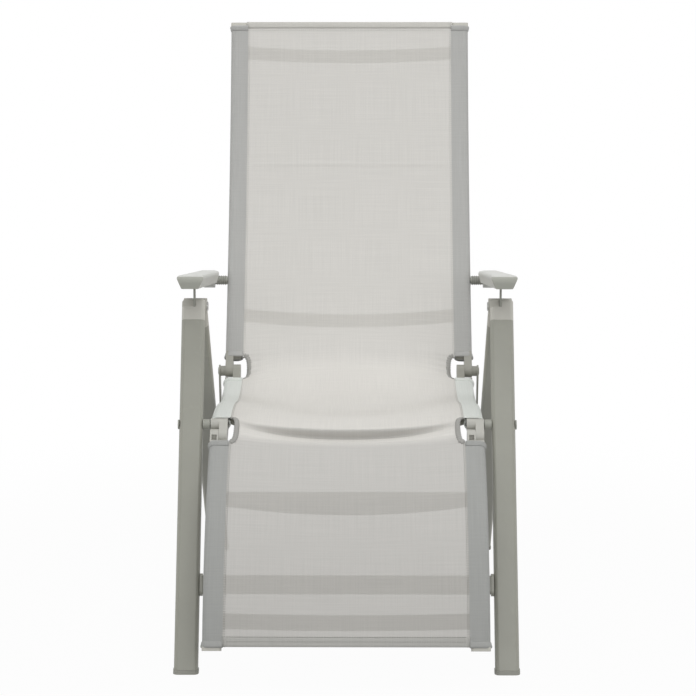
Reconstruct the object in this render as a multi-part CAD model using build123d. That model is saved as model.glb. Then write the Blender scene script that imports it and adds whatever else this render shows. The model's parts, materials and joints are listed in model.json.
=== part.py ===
from build123d import *
import os
from math import cos, hypot, radians, sin, tan

# Reclining garden armchair, millimetres, z up, the sitter faces -y.
# Left is the sitter's left, at +x. Side-view points are (y, z), with y from the leg hinge.
# The finished chair is moved so that the origin is on the floor under its middle.

# Fits and shared thicknesses
clearance = 0.3
running_fit = 0.08
seam_gap = 0.15
plug_slack = 0.8
overrun = 5.0

# Legs
leg_width = 42.0
leg_depth = 20.0
leg_corner = 7.5
leg_wall = 1.6
leg_outer_span = 600.0
leg_hinge_height = 600.0
front_leg_lean = 23.8
rear_leg_lean = 44.0
front_leg_offset = 43.0
foot_pad_height = 7.0
foot_plug_length = 26.0
foot_pad_flare = 1.2

# Leg-top caps and the hinge between front and rear legs
cap_length = 40.0
cap_spigot = 24.0
cap_corner = 6.0
cap_notch_width = 17.0
cap_notch_length = 15.0
cap_notch_depth = 8.0
ear_width = 14.0
ear_radius = 15.0
hinge_pin_diameter = 9.0
pin_head_diameter = 16.0
pin_head_height = 2.0
rear_head_length = 36.0

# Tongue that the armrest rides on
tongue_thickness = 3.2
tongue_width = 15.0
tongue_side_shift = 2.0
tongue_seat_depth = 18.0
tongue_pin_y = -50.0
tongue_pin_rise = 45.0
tongue_pin_diameter = 8.0
tongue_pin_length = 16.0

# Crossbars between the legs
leg_bar_height = 33.0
leg_bar_depth = 16.0
leg_bar_corner = 6.0
leg_bar_wall = 1.5
front_bar_level = 141.0
rear_bar_drop = 93.75
bar_flange_thickness = 5.0
bar_flange_margin = 3.0

# Stretched frame: side tubes, fabric sleeve and bowed bars
frame_side_gap = 13.0
side_tube_width = 30.0
side_tube_depth = 19.0
side_tube_wall = 1.5
fabric_thickness = 1.2
bow_bar_height = 27.0
bow_bar_thickness = 9.0
bow_bar_corner = 3.5
back_bow = 34.0
seat_bow = 40.0
footrest_bow = 34.0
sleeve_notch_margin = 3.0
back_bar_shares = (0.118, 0.925)
seat_bar_shares = (0.14, 0.9)
footrest_bar_shares = (0.3, 0.885)

# Seat, side view: its pivot below the leg hinge, its rear hinge from the pivot
seat_pivot_drop = 195.0
seat_depth = 433.0
rear_hinge_rise = 25.0
seat_rear_gap = 18.0
seat_rear_drop = 23.0
seat_middle_share = 0.56
seat_middle_drop = 4.8
seat_dip_share = 0.05
seat_front_gap = 19.0
seat_front_drop = 2.0

# Back, side view of the tube's middle, from the rear hinge up
back_start_reach = 31.0
back_start_rise = 32.0
back_length = 697.3
back_lean = 24.2
back_bend = 26.0
back_cap_height = 8.0
tube_cap_plug = 22.0
tube_cap_corner = 4.0

# Footrest, side view of the tube's middle: its hinge from the seat's pivot, its end off the floor
front_hinge_reach = 19.0
front_hinge_drop = 19.0
footrest_start_drop = 36.0
footrest_start_reach = 22.0
footrest_lean = 37.4
footrest_floor_gap = 71.0
footrest_bend = 30.0
footrest_cap_height = 7.0
bridge_setback = 45.0
bridge_gap = 5.0

# Hinges of the stretched frame
rear_knuckle_radius = 12.5
front_knuckle_radius = 14.0
knuckle_neck_margin = 0.6
neck_share = 0.15
pivot_boss_radius = 11.0
knuckle_plug_length = 24.0
window_width = 9.0
window_height = 9.0
window_depth = 6.0
axle_diameter = 8.0
axle_collar_diameter = 20.0
front_pin_diameter = 6.0
seat_bolt_diameter = 8.0
seat_bolt_collar = 19.0
seat_bolt_head_diameter = 17.0
seat_bolt_head_height = 2.6

# Stay plate between the rear hinge and the rear leg
fold_travel = 46.0
stay_thickness = 3.0
stay_width = 24.0
stay_rivet_diameter = 8.0
stay_rivet_head = 14.0
stay_head_height = 1.2

# Armrests
arm_pivot_along = 156.8
arm_top_width = 52.0
arm_bottom_width = 30.0
arm_height = 24.0
arm_line_depth = 20.0
arm_overhang = 22.0
arm_tail = 15.0
arm_wall = 2.6
arm_top_corner = 5.0
arm_bottom_corner = 3.0
arm_front_radius = 14.0
arm_tail_radius = 12.0
arm_front_cap_length = 6.0
arm_rear_narrowing = 19.0
arm_taper_length = 150.0
arm_boss_radius = 15.0
rack_width = 10.0
rack_margin = 10.0
notch_depth = 2.6
detent_count = 5
recline_travel = 28.0
stub_diameter = 10.0
stub_collar_diameter = 17.0
arm_screw_diameter = 8.0
arm_screw_height = 2.2
arm_screw_setback = 24.0
arm_screw_pitch = 52.0

# Places across the chair
leg_inner_x = leg_outer_span / 2 - leg_width
leg_outer_x = leg_outer_span / 2
leg_centre_x = leg_outer_x - leg_width / 2
frame_span = leg_outer_span - 2 * (leg_width + frame_side_gap)
bridge_half_width = frame_span / 2 - bridge_setback
sleeve_build = clearance + fabric_thickness
side_centre_x = frame_span / 2 - sleeve_build - side_tube_width / 2
side_inner_x = side_centre_x - side_tube_width / 2
side_outer_x = side_centre_x + side_tube_width / 2
sleeve_outer_x = frame_span / 2
stay_outer_x = leg_inner_x - stay_head_height - clearance
stay_inner_x = stay_outer_x - stay_thickness
arm_centre_x = leg_centre_x - tongue_side_shift

# Side-view geometry


def turned(point, centre, angle):
    """Side-view point after a turn that takes rearward points down, in degrees."""
    dy, dz = point[0] - centre[0], point[1] - centre[1]
    c, s = cos(radians(angle)), sin(radians(angle))
    return (centre[0] + dy * c + dz * s, centre[1] - dy * s + dz * c)


leg_hinge = (0, leg_hinge_height)


def front_axis_y(level):
    return -front_leg_offset / cos(radians(front_leg_lean)) - (leg_hinge_height - level) * tan(
        radians(front_leg_lean)
    )


def rear_axis_y(level):
    return (leg_hinge_height - level) * tan(radians(rear_leg_lean))


front_foot = (front_axis_y(0), 0.0)
rear_foot = (rear_axis_y(0), 0.0)
seat_pivot_level = leg_hinge_height - seat_pivot_drop
seat_pivot = (front_axis_y(seat_pivot_level), seat_pivot_level)


def moved(point, dy, dz):
    return (point[0] + dy, point[1] + dz)


def toward(start, end, share):
    return (start[0] + (end[0] - start[0]) * share, start[1] + (end[1] - start[1]) * share)


rear_hinge = moved(seat_pivot, seat_depth, rear_hinge_rise)
front_hinge = moved(seat_pivot, -front_hinge_reach, -front_hinge_drop)
tongue_pin = moved(leg_hinge, tongue_pin_y, tongue_pin_rise)

# The stay's lower rivet lies where the seat turns as far as the rear legs at full fold
rear_hinge_folded = turned(rear_hinge, seat_pivot, fold_travel)
rest_lean = radians(rear_leg_lean)
folded_lean = radians(rear_leg_lean - fold_travel)
rest_reach = (rear_hinge[0], rear_hinge[1] - leg_hinge_height)
folded_reach = (rear_hinge_folded[0], rear_hinge_folded[1] - leg_hinge_height)
rest_along = rest_reach[0] * sin(rest_lean) - rest_reach[1] * cos(rest_lean)
folded_along = folded_reach[0] * sin(folded_lean) - folded_reach[1] * cos(folded_lean)
stay_distance = (hypot(*rest_reach) ** 2 - hypot(*folded_reach) ** 2) / (
    2 * (rest_along - folded_along)
)
stay_rivet = (stay_distance * sin(rest_lean), leg_hinge_height - stay_distance * cos(rest_lean))
rear_bar_level = stay_rivet[1] - rear_bar_drop


def in_space(point, x=0.0):
    return Vector(x, point[0], point[1])


def sagged_arc(start, end, sag):
    """Side-view arc whose middle lies off its chord by sag, to the right of its direction."""
    dy, dz = end[0] - start[0], end[1] - start[1]
    chord = hypot(dy, dz)
    middle = ((start[0] + end[0]) / 2 + sag * dz / chord, (start[1] + end[1]) / 2 - sag * dy / chord)
    return ThreePointArc(in_space(start), in_space(middle), in_space(end))


back_start = moved(rear_hinge, back_start_reach, back_start_rise)
back_top = moved(
    back_start, back_length * sin(radians(back_lean)), back_length * cos(radians(back_lean))
)
back_path = Wire(sagged_arc(back_start, back_top, back_bend))
seat_rear = moved(rear_hinge, -seat_rear_gap, -seat_rear_drop)
seat_front = moved(seat_pivot, seat_front_gap, -seat_front_drop)
seat_middle = moved(toward(seat_rear, seat_front, seat_middle_share), 0, -seat_middle_drop)
seat_dip = seat_dip_share * (seat_rear[0] - seat_middle[0])
seat_dip_arc = sagged_arc(seat_rear, seat_middle, -seat_dip)
seat_crown_arc = TangentArc(
    in_space(seat_middle), in_space(seat_front), tangent=seat_dip_arc % 1
)
seat_path = Wire([seat_dip_arc, seat_crown_arc])
footrest_start = moved(
    front_hinge,
    -footrest_start_reach * cos(radians(footrest_start_drop)),
    -footrest_start_reach * sin(radians(footrest_start_drop)),
)
footrest_fall = front_hinge[1] - footrest_floor_gap
footrest_end = moved(front_hinge, -footrest_fall * tan(radians(footrest_lean)), -footrest_fall)
footrest_path = Wire(sagged_arc(footrest_start, footrest_end, footrest_bend))

arm_pivot_place = back_path @ (arm_pivot_along / back_path.length)
arm_pivot = (arm_pivot_place.Y, arm_pivot_place.Z)
arm_rise = (tongue_pin[0] - arm_pivot[0], tongue_pin[1] - arm_pivot[1])
pin_distance = hypot(*arm_rise)
arm_pivot_reclined = turned(arm_pivot, rear_hinge, recline_travel)
pin_distance_reclined = hypot(
    tongue_pin[0] - arm_pivot_reclined[0], tongue_pin[1] - arm_pivot_reclined[1]
)
detent_pitch = (pin_distance_reclined - pin_distance) / (detent_count - 1)
arm_reach = pin_distance_reclined + rack_margin + arm_overhang


# Shapes drawn in the side view and carried across the chair


def slab(sketch, x_from, x_to):
    return extrude(Plane.YZ.offset(x_from) * sketch, x_to - x_from)


def disc(centre, radius, x_from, x_to):
    return slab(Pos(*centre) * Circle(radius), x_from, x_to)


def hull_slab(circles, x_from, x_to):
    """Slab whose side view wraps round a few circles, each (centre, radius)."""
    edges = [edge for centre, radius in circles for edge in (Pos(*centre) * Circle(radius)).edges()]
    return slab(make_hull(edges), x_from, x_to)


def on_both_sides(part):
    return Part([part, mirror(part, about=Plane.YZ)])


def mirrored(part):
    return mirror(part, about=Plane.YZ)


# Straight legs, drawn upright: local z along the leg, local y to the rear


def leg_frame(foot, lean, x):
    direction = (0, sin(radians(lean)), cos(radians(lean)))
    return Plane(origin=(x, foot[0], foot[1]), x_dir=(1, 0, 0), z_dir=direction)


def leg_section(grow=0.0):
    return RectangleRounded(leg_width + 2 * grow, leg_depth + 2 * grow, leg_corner + grow)


def raised(sketch, start, end):
    """A sketch extruded along local z from start to end."""
    return Pos(0, 0, start) * extrude(sketch, end - start, dir=(0, 0, 1))


def level_block(foot, x, bottom, top):
    """Wide block round a foot between two heights, used to cut it level."""
    size = 4 * leg_width
    return Pos(x, foot[0], (bottom + top) / 2) * Box(size, size, top - bottom)


below_floor = -4 * leg_depth
front_leg_length = -front_foot[0] * sin(radians(front_leg_lean)) + leg_hinge_height * cos(
    radians(front_leg_lean)
)
rear_leg_length = leg_hinge_height / cos(rest_lean)
front_tube_length = front_leg_length - cap_length
rear_tube_length = rear_leg_length - rear_head_length - ear_radius


def make_leg(foot, lean, length, x):
    tube = raised(leg_section() - leg_section(-leg_wall), -leg_depth, length)
    return leg_frame(foot, lean, x) * tube - level_block(foot, x, below_floor, foot_pad_height)


def make_foot(foot, lean, x):
    """Flared pad under the tube with a hollow plug up inside it, cut level at the floor."""
    frame = leg_frame(foot, lean, x)
    pad = frame * raised(leg_section(foot_pad_flare), -leg_depth, leg_depth)
    pad = pad & level_block(foot, x, 0, foot_pad_height - seam_gap)
    plug_skin = leg_section(-leg_wall - clearance) - leg_section(-2 * leg_wall - clearance)
    plug = frame * raised(plug_skin, -leg_depth, foot_plug_length)
    return pad + (plug - level_block(foot, x, below_floor, foot_pad_height - 2 * seam_gap))


def make_front_leg(x):
    leg = make_leg(front_foot, front_leg_lean, front_tube_length, x)
    return leg - disc(
        seat_pivot, seat_bolt_diameter / 2 + running_fit, x - leg_width, x + leg_width
    )


def make_rear_leg(x):
    leg = make_leg(rear_foot, -rear_leg_lean, rear_tube_length, x)
    return leg - disc(
        stay_rivet, stay_rivet_diameter / 2 + running_fit, x - leg_width, x + leg_width
    )


def on_front_leg(distance):
    """Side-view point on the front leg's axis, so far up from its foot."""
    return moved(
        front_foot,
        distance * sin(radians(front_leg_lean)),
        distance * cos(radians(front_leg_lean)),
    )


tongue_root = on_front_leg(front_leg_length - tongue_seat_depth)
ear_root = on_front_leg(front_leg_length - cap_length / 2)
ear_root_radius = cap_length / 2 - cap_corner


def tongue_blank(x, grow=0.0):
    half = tongue_thickness / 2 + grow
    circles = [(tongue_root, tongue_width / 2 + grow), (tongue_pin, tongue_width / 2 + grow)]
    return hull_slab(circles, x - half, x + half)


def make_tongue(x):
    """Steel plate with the cross pin that the armrest's rack rests on."""
    half = tongue_pin_length / 2
    pin = disc(tongue_pin, tongue_pin_diameter / 2, x - half, x + half)
    plate_room = disc(tongue_pin, tongue_width, x - half, x + half)
    narrow_head = disc(tongue_pin, tongue_pin_diameter / 2 + seam_gap, x - half, x + half)
    head_room = slab(
        Pos(tongue_pin[0], tongue_pin[1] + tongue_width / 2) * Rectangle(tongue_width * 2, tongue_width),
        x - half,
        x + half,
    )
    plate = tongue_blank(x) - (head_room & plate_room) + (narrow_head & tongue_blank(x))
    return plate + pin


def make_leg_cap(side):
    """Cap on the front leg with a rear ear for the hinge and a notch beside the tongue."""
    x = side * leg_centre_x
    frame = leg_frame(front_foot, front_leg_lean, x)
    block = raised(leg_section(), front_tube_length + seam_gap, front_leg_length)
    block = fillet(block.faces().sort_by(Axis.Z)[-1].edges(), cap_corner)
    spigot = raised(
        leg_section(-leg_wall - clearance), front_tube_length - cap_spigot, front_tube_length + overrun
    )
    notch_x = -leg_width / 2 + cap_notch_width / 2
    notch = Pos(notch_x, -leg_depth / 2, front_leg_length) * Box(
        cap_notch_width + overrun, 2 * cap_notch_depth, 2 * cap_notch_length
    )
    body = frame * (block + spigot - notch)
    ear = hull_slab(
        [(leg_hinge, ear_radius), (ear_root, ear_root_radius)], x - ear_width / 2, x + ear_width / 2
    )
    front_half = frame * Pos(0, -leg_depth / 2, front_leg_length) * Box(
        leg_width, leg_depth, 2 * cap_length
    )
    bore = disc(leg_hinge, hinge_pin_diameter / 2 + running_fit, x - leg_width, x + leg_width)
    tongue_x = side * arm_centre_x
    return body + (ear - front_half) - bore - tongue_blank(tongue_x, clearance)


def make_rear_head(x):
    """Forked head on the rear leg, its slot open to the front cap's ear as far as it folds."""
    frame = leg_frame(rear_foot, -rear_leg_lean, x)
    block = raised(leg_section(), rear_tube_length + seam_gap, rear_leg_length)
    cheeks = disc(leg_hinge, ear_radius, x - leg_width / 2, x + leg_width / 2)
    spigot = raised(
        leg_section(-leg_wall - clearance), rear_tube_length - cap_spigot, rear_tube_length + overrun
    )
    shell = frame * (block + spigot) + cheeks
    room = running_fit + clearance
    folded_root = turned(ear_root, leg_hinge, -fold_travel)
    slot = hull_slab(
        [(leg_hinge, ear_radius + room), (folded_root, ear_root_radius + room)],
        x - ear_width / 2 - clearance,
        x + ear_width / 2 + clearance,
    )
    bore = disc(leg_hinge, hinge_pin_diameter / 2 + running_fit, x - leg_width, x + leg_width)
    return shell - slot - bore


def make_hinge_pin(x):
    half = leg_width / 2 + clearance
    pin = disc(leg_hinge, hinge_pin_diameter / 2, x - half, x + half)
    outer = disc(leg_hinge, pin_head_diameter / 2, x + half, x + half + pin_head_height)
    inner = disc(leg_hinge, pin_head_diameter / 2, x - half - pin_head_height, x - half)
    return pin + outer + inner


def bar_frame(level, lean, axis_y):
    direction = (0, sin(radians(lean)), cos(radians(lean)))
    return Plane(origin=(0, axis_y, level), x_dir=(0, direction[1], direction[2]), z_dir=(1, 0, 0))


def make_leg_bar(level, lean, axis_y):
    """Oval tube between two legs with a flange against each inner face."""
    frame = bar_frame(level, lean, axis_y)
    outer = RectangleRounded(leg_bar_height, leg_bar_depth, leg_bar_corner)
    inner = RectangleRounded(
        leg_bar_height - 2 * leg_bar_wall, leg_bar_depth - 2 * leg_bar_wall, leg_bar_corner - leg_bar_wall
    )
    margin = 2 * bar_flange_margin
    rim = RectangleRounded(
        leg_bar_height + margin, leg_bar_depth + margin / 2, leg_bar_corner + bar_flange_margin / 2
    )
    end = leg_inner_x - seam_gap
    tube = raised(outer - inner, -end, end)
    flange = raised(rim - inner, end - bar_flange_thickness, end)
    other = raised(rim - inner, -end, bar_flange_thickness - end)
    return frame * (tube + flange + other)


def make_seat_bolt():
    """Bolt from the front leg into the seat's side tube, with the spacer between them."""
    bolt = disc(
        seat_pivot, seat_bolt_diameter / 2, side_inner_x, leg_outer_x + seat_bolt_head_height
    )
    spacer = disc(
        seat_pivot, seat_bolt_collar / 2, sleeve_outer_x + clearance, leg_inner_x - seam_gap
    )
    head = disc(
        seat_pivot,
        seat_bolt_head_diameter / 2,
        leg_outer_x + seam_gap,
        leg_outer_x + seat_bolt_head_height,
    )
    return bolt + spacer + head


# Side tubes and bowed bars of the stretched frame


def section_plane(path, share, x=0.0):
    """Plane across a side path: local x is the chair's x, local z runs along the path."""
    origin = path @ share
    return Plane(origin=(x, origin.Y, origin.Z), x_dir=(1, 0, 0), z_dir=path % share)


def carried(section, path, x=0.0):
    """A section drawn about its middle, swept along a side path at x."""
    return sweep(section_plane(path, 0, x) * section, path=Pos(x, 0, 0) * path)


def tube_section(grow=0.0):
    return SlotOverall(side_tube_width + 2 * grow, side_tube_depth + 2 * grow)


def make_side_tube(path):
    return carried(tube_section() - tube_section(-side_tube_wall), path, side_centre_x)


def bar_body(path, share, bow, side):
    """Bowed flat bar between the side tubes; side is the local y sign of its bow."""
    plane = section_plane(path, share)
    reach = side_centre_x
    middle_bow = side * bow
    arc = plane * ThreePointArc((-reach, 0), (0, middle_bow), (reach, 0))
    start = Plane(origin=arc @ 0, x_dir=plane.z_dir, z_dir=arc % 0)
    section = RectangleRounded(bow_bar_height, bow_bar_thickness, bow_bar_corner)
    return sweep(start * section, path=arc)


def make_bar(path, share, bow, side):
    bar = bar_body(path, share, bow, side)
    envelope = carried(tube_section(seam_gap), path, side_centre_x)
    return bar - envelope - mirrored(envelope)


def bar_room(path, share, side):
    """Room behind the side tubes where the sleeves are notched for a bar's ends."""
    width = side_centre_x - side_tube_width / 4
    depth = side_tube_depth
    room = Box(2 * width, depth, bow_bar_height + 2 * sleeve_notch_margin)
    return section_plane(path, share) * Pos(0, side * depth / 4, 0) * room


def make_fabric(path, bar_shares, rear_side, bridge):
    """Sheet stretched between two sleeves, open behind at the bars, with a hinge bridge."""
    ring = tube_section(sleeve_build) - tube_section(clearance)
    rise = -rear_side * (side_tube_depth / 2 + clearance + fabric_thickness / 2)
    sheet = Pos(0, rise) * Rectangle(2 * side_centre_x, fabric_thickness)
    section = Pos(side_centre_x, 0) * ring + Pos(-side_centre_x, 0) * ring + sheet
    fabric = carried(section, path)
    for share in bar_shares:
        fabric -= bar_room(path, share, rear_side)
    return fabric + bridge


def face_point(path, share, rear_side):
    """Side-view point on the middle of the sheet at a share of its path."""
    plane = section_plane(path, share)
    rise = -rear_side * (side_tube_depth / 2 + clearance + fabric_thickness / 2)
    place = plane.origin + plane.y_dir * rise
    return (place.Y, place.Z)


def make_bridge(start, end):
    """Strip of the sheet between the cut-outs, from a panel's end towards a hinge."""
    line = Line(in_space(start), in_space(end))
    plane = Plane(origin=line @ 0, x_dir=(1, 0, 0), z_dir=line % 0)
    strip = raised(Rectangle(2 * bridge_half_width, fabric_thickness), -fabric_thickness / 4, line.length)
    return plane * strip


# Hinge knuckles, with plugs up inside the side tubes


def make_knuckle(path, at_start, hinge, radius, boss, boss_radius, lug_from, lug_to):
    """Half-width lug round a hinge, full-width neck at the tube's end and a plug inside it."""
    place = section_plane(path, 0 if at_start else 1, side_centre_x)
    tube_end = (place.origin.Y, place.origin.Z)
    neck_radius = side_tube_depth / 2 - knuckle_neck_margin
    inward = 1 if at_start else -1
    lug = hull_slab([(hinge, radius), (boss, boss_radius), (tube_end, neck_radius)], lug_from, lug_to)
    neck = hull_slab([(boss, boss_radius), (tube_end, neck_radius)], side_inner_x, side_outer_x)
    turning_room = radius + clearance
    neck -= disc(hinge, turning_room, side_inner_x - overrun, lug_from)
    neck -= disc(hinge, turning_room, lug_to, side_outer_x + overrun)
    near, far = -inward * seam_gap, inward * knuckle_plug_length
    tube_room = place * raised(
        Rectangle(side_tube_width * 2, side_tube_depth * 2), min(near, far), max(near, far)
    )
    plug = tube_section(-side_tube_wall - plug_slack)
    plug = place * raised(plug, min(2 * near, far), max(2 * near, far))
    return lug + neck - tube_room + plug


half_gap = clearance / 2
outer_lug = (side_centre_x + half_gap, side_outer_x)
inner_lug = (side_inner_x, side_centre_x - half_gap)


def through_tube(centre, diameter):
    """Bore across a side tube or a knuckle, with running room round its pin."""
    return disc(centre, diameter / 2 + running_fit, side_inner_x - overrun, side_outer_x + overrun)


def make_seat_front_knuckle():
    knuckle = make_knuckle(
        seat_path, False, front_hinge, front_knuckle_radius, seat_pivot, pivot_boss_radius, *outer_lug
    )
    bores = through_tube(front_hinge, front_pin_diameter) + through_tube(seat_pivot, seat_bolt_diameter)
    return knuckle - bores


def make_footrest_knuckle():
    neck_end = toward(footrest_start, front_hinge, neck_share)
    neck_radius = side_tube_depth / 2 - knuckle_neck_margin
    knuckle = make_knuckle(
        footrest_path, True, front_hinge, front_knuckle_radius, neck_end, neck_radius, *inner_lug
    )
    window_x = (inner_lug[0] + inner_lug[1]) / 2
    window_place = (window_x, front_hinge[0] - front_knuckle_radius, front_hinge[1] + window_height / 4)
    window = Pos(*window_place) * Box(window_width, 2 * window_depth, window_height)
    return knuckle - through_tube(front_hinge, front_pin_diameter) - window


def same_hand(part, side):
    """The front hinges aren't mirrored: the right one is the left one moved across."""
    return part if side > 0 else Pos(-2 * side_centre_x, 0, 0) * part


def make_rear_knuckle(path, lug):
    place = section_plane(path, 0)
    tube_end = (place.origin.Y, place.origin.Z)
    neck_end = toward(tube_end, rear_hinge, neck_share)
    neck_radius = side_tube_depth / 2 - knuckle_neck_margin
    knuckle = make_knuckle(path, True, rear_hinge, rear_knuckle_radius, neck_end, neck_radius, *lug)
    return knuckle - through_tube(rear_hinge, axle_diameter)


def make_front_pin(x):
    half = side_tube_width / 2
    return disc(front_hinge, front_pin_diameter / 2, x - half, x + half)


def make_rear_axle():
    """Axle through both knuckles with the collar that stands off the stay plate."""
    axle = disc(rear_hinge, axle_diameter / 2, side_inner_x, stay_inner_x - clearance)
    collar = disc(
        rear_hinge, axle_collar_diameter / 2, side_outer_x + clearance, stay_inner_x - clearance
    )
    return axle + collar


def make_stay():
    """Plate from the rear hinge down to the rear leg, with its lower rivet."""
    plate = hull_slab(
        [(rear_hinge, stay_width / 2), (stay_rivet, stay_width / 2)], stay_inner_x, stay_outer_x
    )
    top_head = disc(rear_hinge, stay_rivet_head / 2, stay_outer_x, stay_outer_x + stay_head_height)
    rivet = disc(
        stay_rivet, stay_rivet_diameter / 2, stay_inner_x, leg_outer_x + clearance + stay_head_height
    )
    rivet_end = disc(
        stay_rivet,
        stay_rivet_head / 2,
        leg_outer_x + clearance,
        leg_outer_x + clearance + stay_head_height,
    )
    return plate + top_head + rivet + rivet_end


def make_tube_cap(path, at_start, height):
    """Square-cornered cap over a side tube's end with a short plug inside it."""
    place = section_plane(path, 0 if at_start else 1, side_centre_x)
    out = -1 if at_start else 1
    lid = RectangleRounded(
        side_tube_width + 2 * sleeve_build, side_tube_depth + 2 * sleeve_build, tube_cap_corner
    )
    near, far, deep = out * seam_gap, out * height, -out * tube_cap_plug
    lid = raised(lid, min(near, far), max(near, far))
    core = tube_section(-side_tube_wall - plug_slack)
    return place * (lid + raised(core, min(deep, far), max(deep, far)))


# Armrests, drawn with local z from the pivot towards the tongue's pin and local y up


def arm_plane(x=0.0):
    forward = (0, arm_rise[0] / pin_distance, arm_rise[1] / pin_distance)
    return Plane(origin=(x, arm_pivot[0], arm_pivot[1]), x_dir=(1, 0, 0), z_dir=forward)


def arm_profile():
    top, bottom = arm_top_width / 2, arm_bottom_width / 2
    low = arm_line_depth - arm_height
    outline = Polygon(
        (-top, arm_line_depth), (top, arm_line_depth), (bottom, low), (-bottom, low), align=None
    )
    upper = fillet(outline.vertices().group_by(Axis.Y)[-1], arm_top_corner)
    return fillet(upper.vertices().group_by(Axis.Y)[0], arm_bottom_corner)


def arm_side_outline():
    """Side outline on local (z, y): round tail, straight run, drawn-down front edge."""
    length = arm_reach + arm_tail
    middle = (arm_reach - arm_tail) / 2
    low = arm_line_depth - arm_height
    outline = Pos(middle, (arm_line_depth + low) / 2) * Rectangle(length, arm_height)
    rear = outline.vertices().group_by(Axis.X)[0]
    outline = fillet(rear, arm_tail_radius - seam_gap)
    front = outline.vertices().group_by(Axis.X)[-1].sort_by(Axis.Y)[-1]
    return fillet(front, arm_front_radius)


def across(sketch, width):
    """A local (z, y) outline extruded across the armrest on both sides of its middle."""
    place = Plane(origin=(0, 0, 0), x_dir=(0, 0, 1), z_dir=(-1, 0, 0))
    return place * Pos(0, 0, -width) * extrude(sketch, 2 * width)


def arm_hollow():
    inner = offset(arm_profile(), -arm_wall)
    mouth = arm_bottom_width - 2 * arm_wall
    throat = Rectangle(mouth, arm_height)
    section = inner + Pos(0, arm_line_depth - arm_height) * throat
    return raised(section, arm_taper_length, arm_reach - arm_front_cap_length)


def make_armrest():
    blank = raised(arm_profile(), -arm_tail - overrun, arm_reach + overrun)
    shaped = blank & across(arm_side_outline(), arm_top_width)
    boss = across(Circle(arm_boss_radius), arm_top_width) & raised(
        Pos(0, 0) * Rectangle(arm_bottom_width, arm_top_width), -arm_tail, arm_tail
    )
    taper = Polygon(
        (-arm_top_width, -arm_tail - overrun),
        (-arm_top_width / 2 + arm_rear_narrowing, -arm_tail - overrun),
        (-arm_top_width / 2 + arm_rear_narrowing, arm_tail),
        (-arm_top_width / 2, arm_taper_length),
        (-arm_top_width, arm_taper_length),
        align=None,
    )
    taper = Plane(origin=(0, arm_top_width, 0), x_dir=(1, 0, 0), z_dir=(0, -1, 0)) * extrude(
        taper, 2 * arm_top_width
    )
    front_room = raised(
        Rectangle(arm_top_width * 2, arm_top_width * 2), arm_reach - arm_front_cap_length, arm_reach + 2 * overrun
    )
    bore = across(Circle(stub_diameter / 2 + running_fit), arm_top_width)
    body = (shaped - arm_hollow() - front_room) + boss - taper - bore
    return arm_plane(arm_centre_x) * body


def make_arm_front_cap():
    start = arm_reach - arm_front_cap_length + seam_gap
    blank = raised(arm_profile(), start, arm_reach + overrun)
    return arm_plane(arm_centre_x) * (blank & across(arm_side_outline(), arm_top_width))


def make_rack():
    """Toothed strip under the armrest's roof; its notches drop over the tongue's pin."""
    start = pin_distance - rack_margin
    end = pin_distance_reclined + rack_margin
    low = tongue_pin_diameter / 2 + clearance
    high = arm_line_depth - arm_wall - seam_gap
    strip = Pos((start + end) / 2, (low + high) / 2) * Rectangle(end - start, high - low)
    for step in range(detent_count):
        strip -= Pos(pin_distance + step * detent_pitch, notch_depth) * Circle(low)
    return arm_plane(arm_centre_x) * across(strip, rack_width / 2)


def make_arm_stub():
    """Axle through the back's side tube into the armrest's boss, with a collar between."""
    inner_face = arm_centre_x - arm_top_width / 2 + arm_rear_narrowing
    axle = disc(arm_pivot, stub_diameter / 2, side_inner_x, arm_centre_x + arm_bottom_width / 2 - arm_wall)
    collar = disc(arm_pivot, stub_collar_diameter / 2, sleeve_outer_x + clearance, inner_face - clearance)
    return axle + collar


def make_arm_screws():
    """Screw heads under the armrest's solid rear end."""
    front = arm_taper_length - arm_screw_setback
    low = arm_line_depth - arm_height - seam_gap
    screws = []
    for distance in (front, front - arm_screw_pitch):
        head = extrude(Circle(arm_screw_diameter / 2), arm_screw_height)
        turn = Plane(origin=(0, low, distance), x_dir=(1, 0, 0), z_dir=(0, -1, 0))
        screws.append(arm_plane(arm_centre_x) * turn * head)
    return Part(screws)


# The whole chair

nodes = {}


def pair(name, part):
    """Stores a left piece and its mirror image."""
    nodes[f"{name}_left"] = part
    nodes[f"{name}_right"] = mirrored(part)


pair("front_leg", make_front_leg(leg_centre_x))
pair("rear_leg", make_rear_leg(leg_centre_x))
nodes["front_feet"] = on_both_sides(make_foot(front_foot, front_leg_lean, leg_centre_x))
nodes["rear_feet"] = on_both_sides(make_foot(rear_foot, -rear_leg_lean, leg_centre_x))
nodes["leg_cap_left"] = make_leg_cap(1)
nodes["leg_cap_right"] = make_leg_cap(-1)
pair("rear_leg_head", make_rear_head(leg_centre_x))
pair("armrest_tongue", make_tongue(arm_centre_x))
nodes["leg_hinge_pins"] = on_both_sides(make_hinge_pin(leg_centre_x))
nodes["seat_pivot_bolts"] = on_both_sides(make_seat_bolt())
nodes["front_crossbar"] = make_leg_bar(
    front_bar_level, front_leg_lean, front_axis_y(front_bar_level)
)
nodes["rear_crossbar"] = make_leg_bar(rear_bar_level, -rear_leg_lean, rear_axis_y(rear_bar_level))
pair("stay", make_stay())

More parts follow.
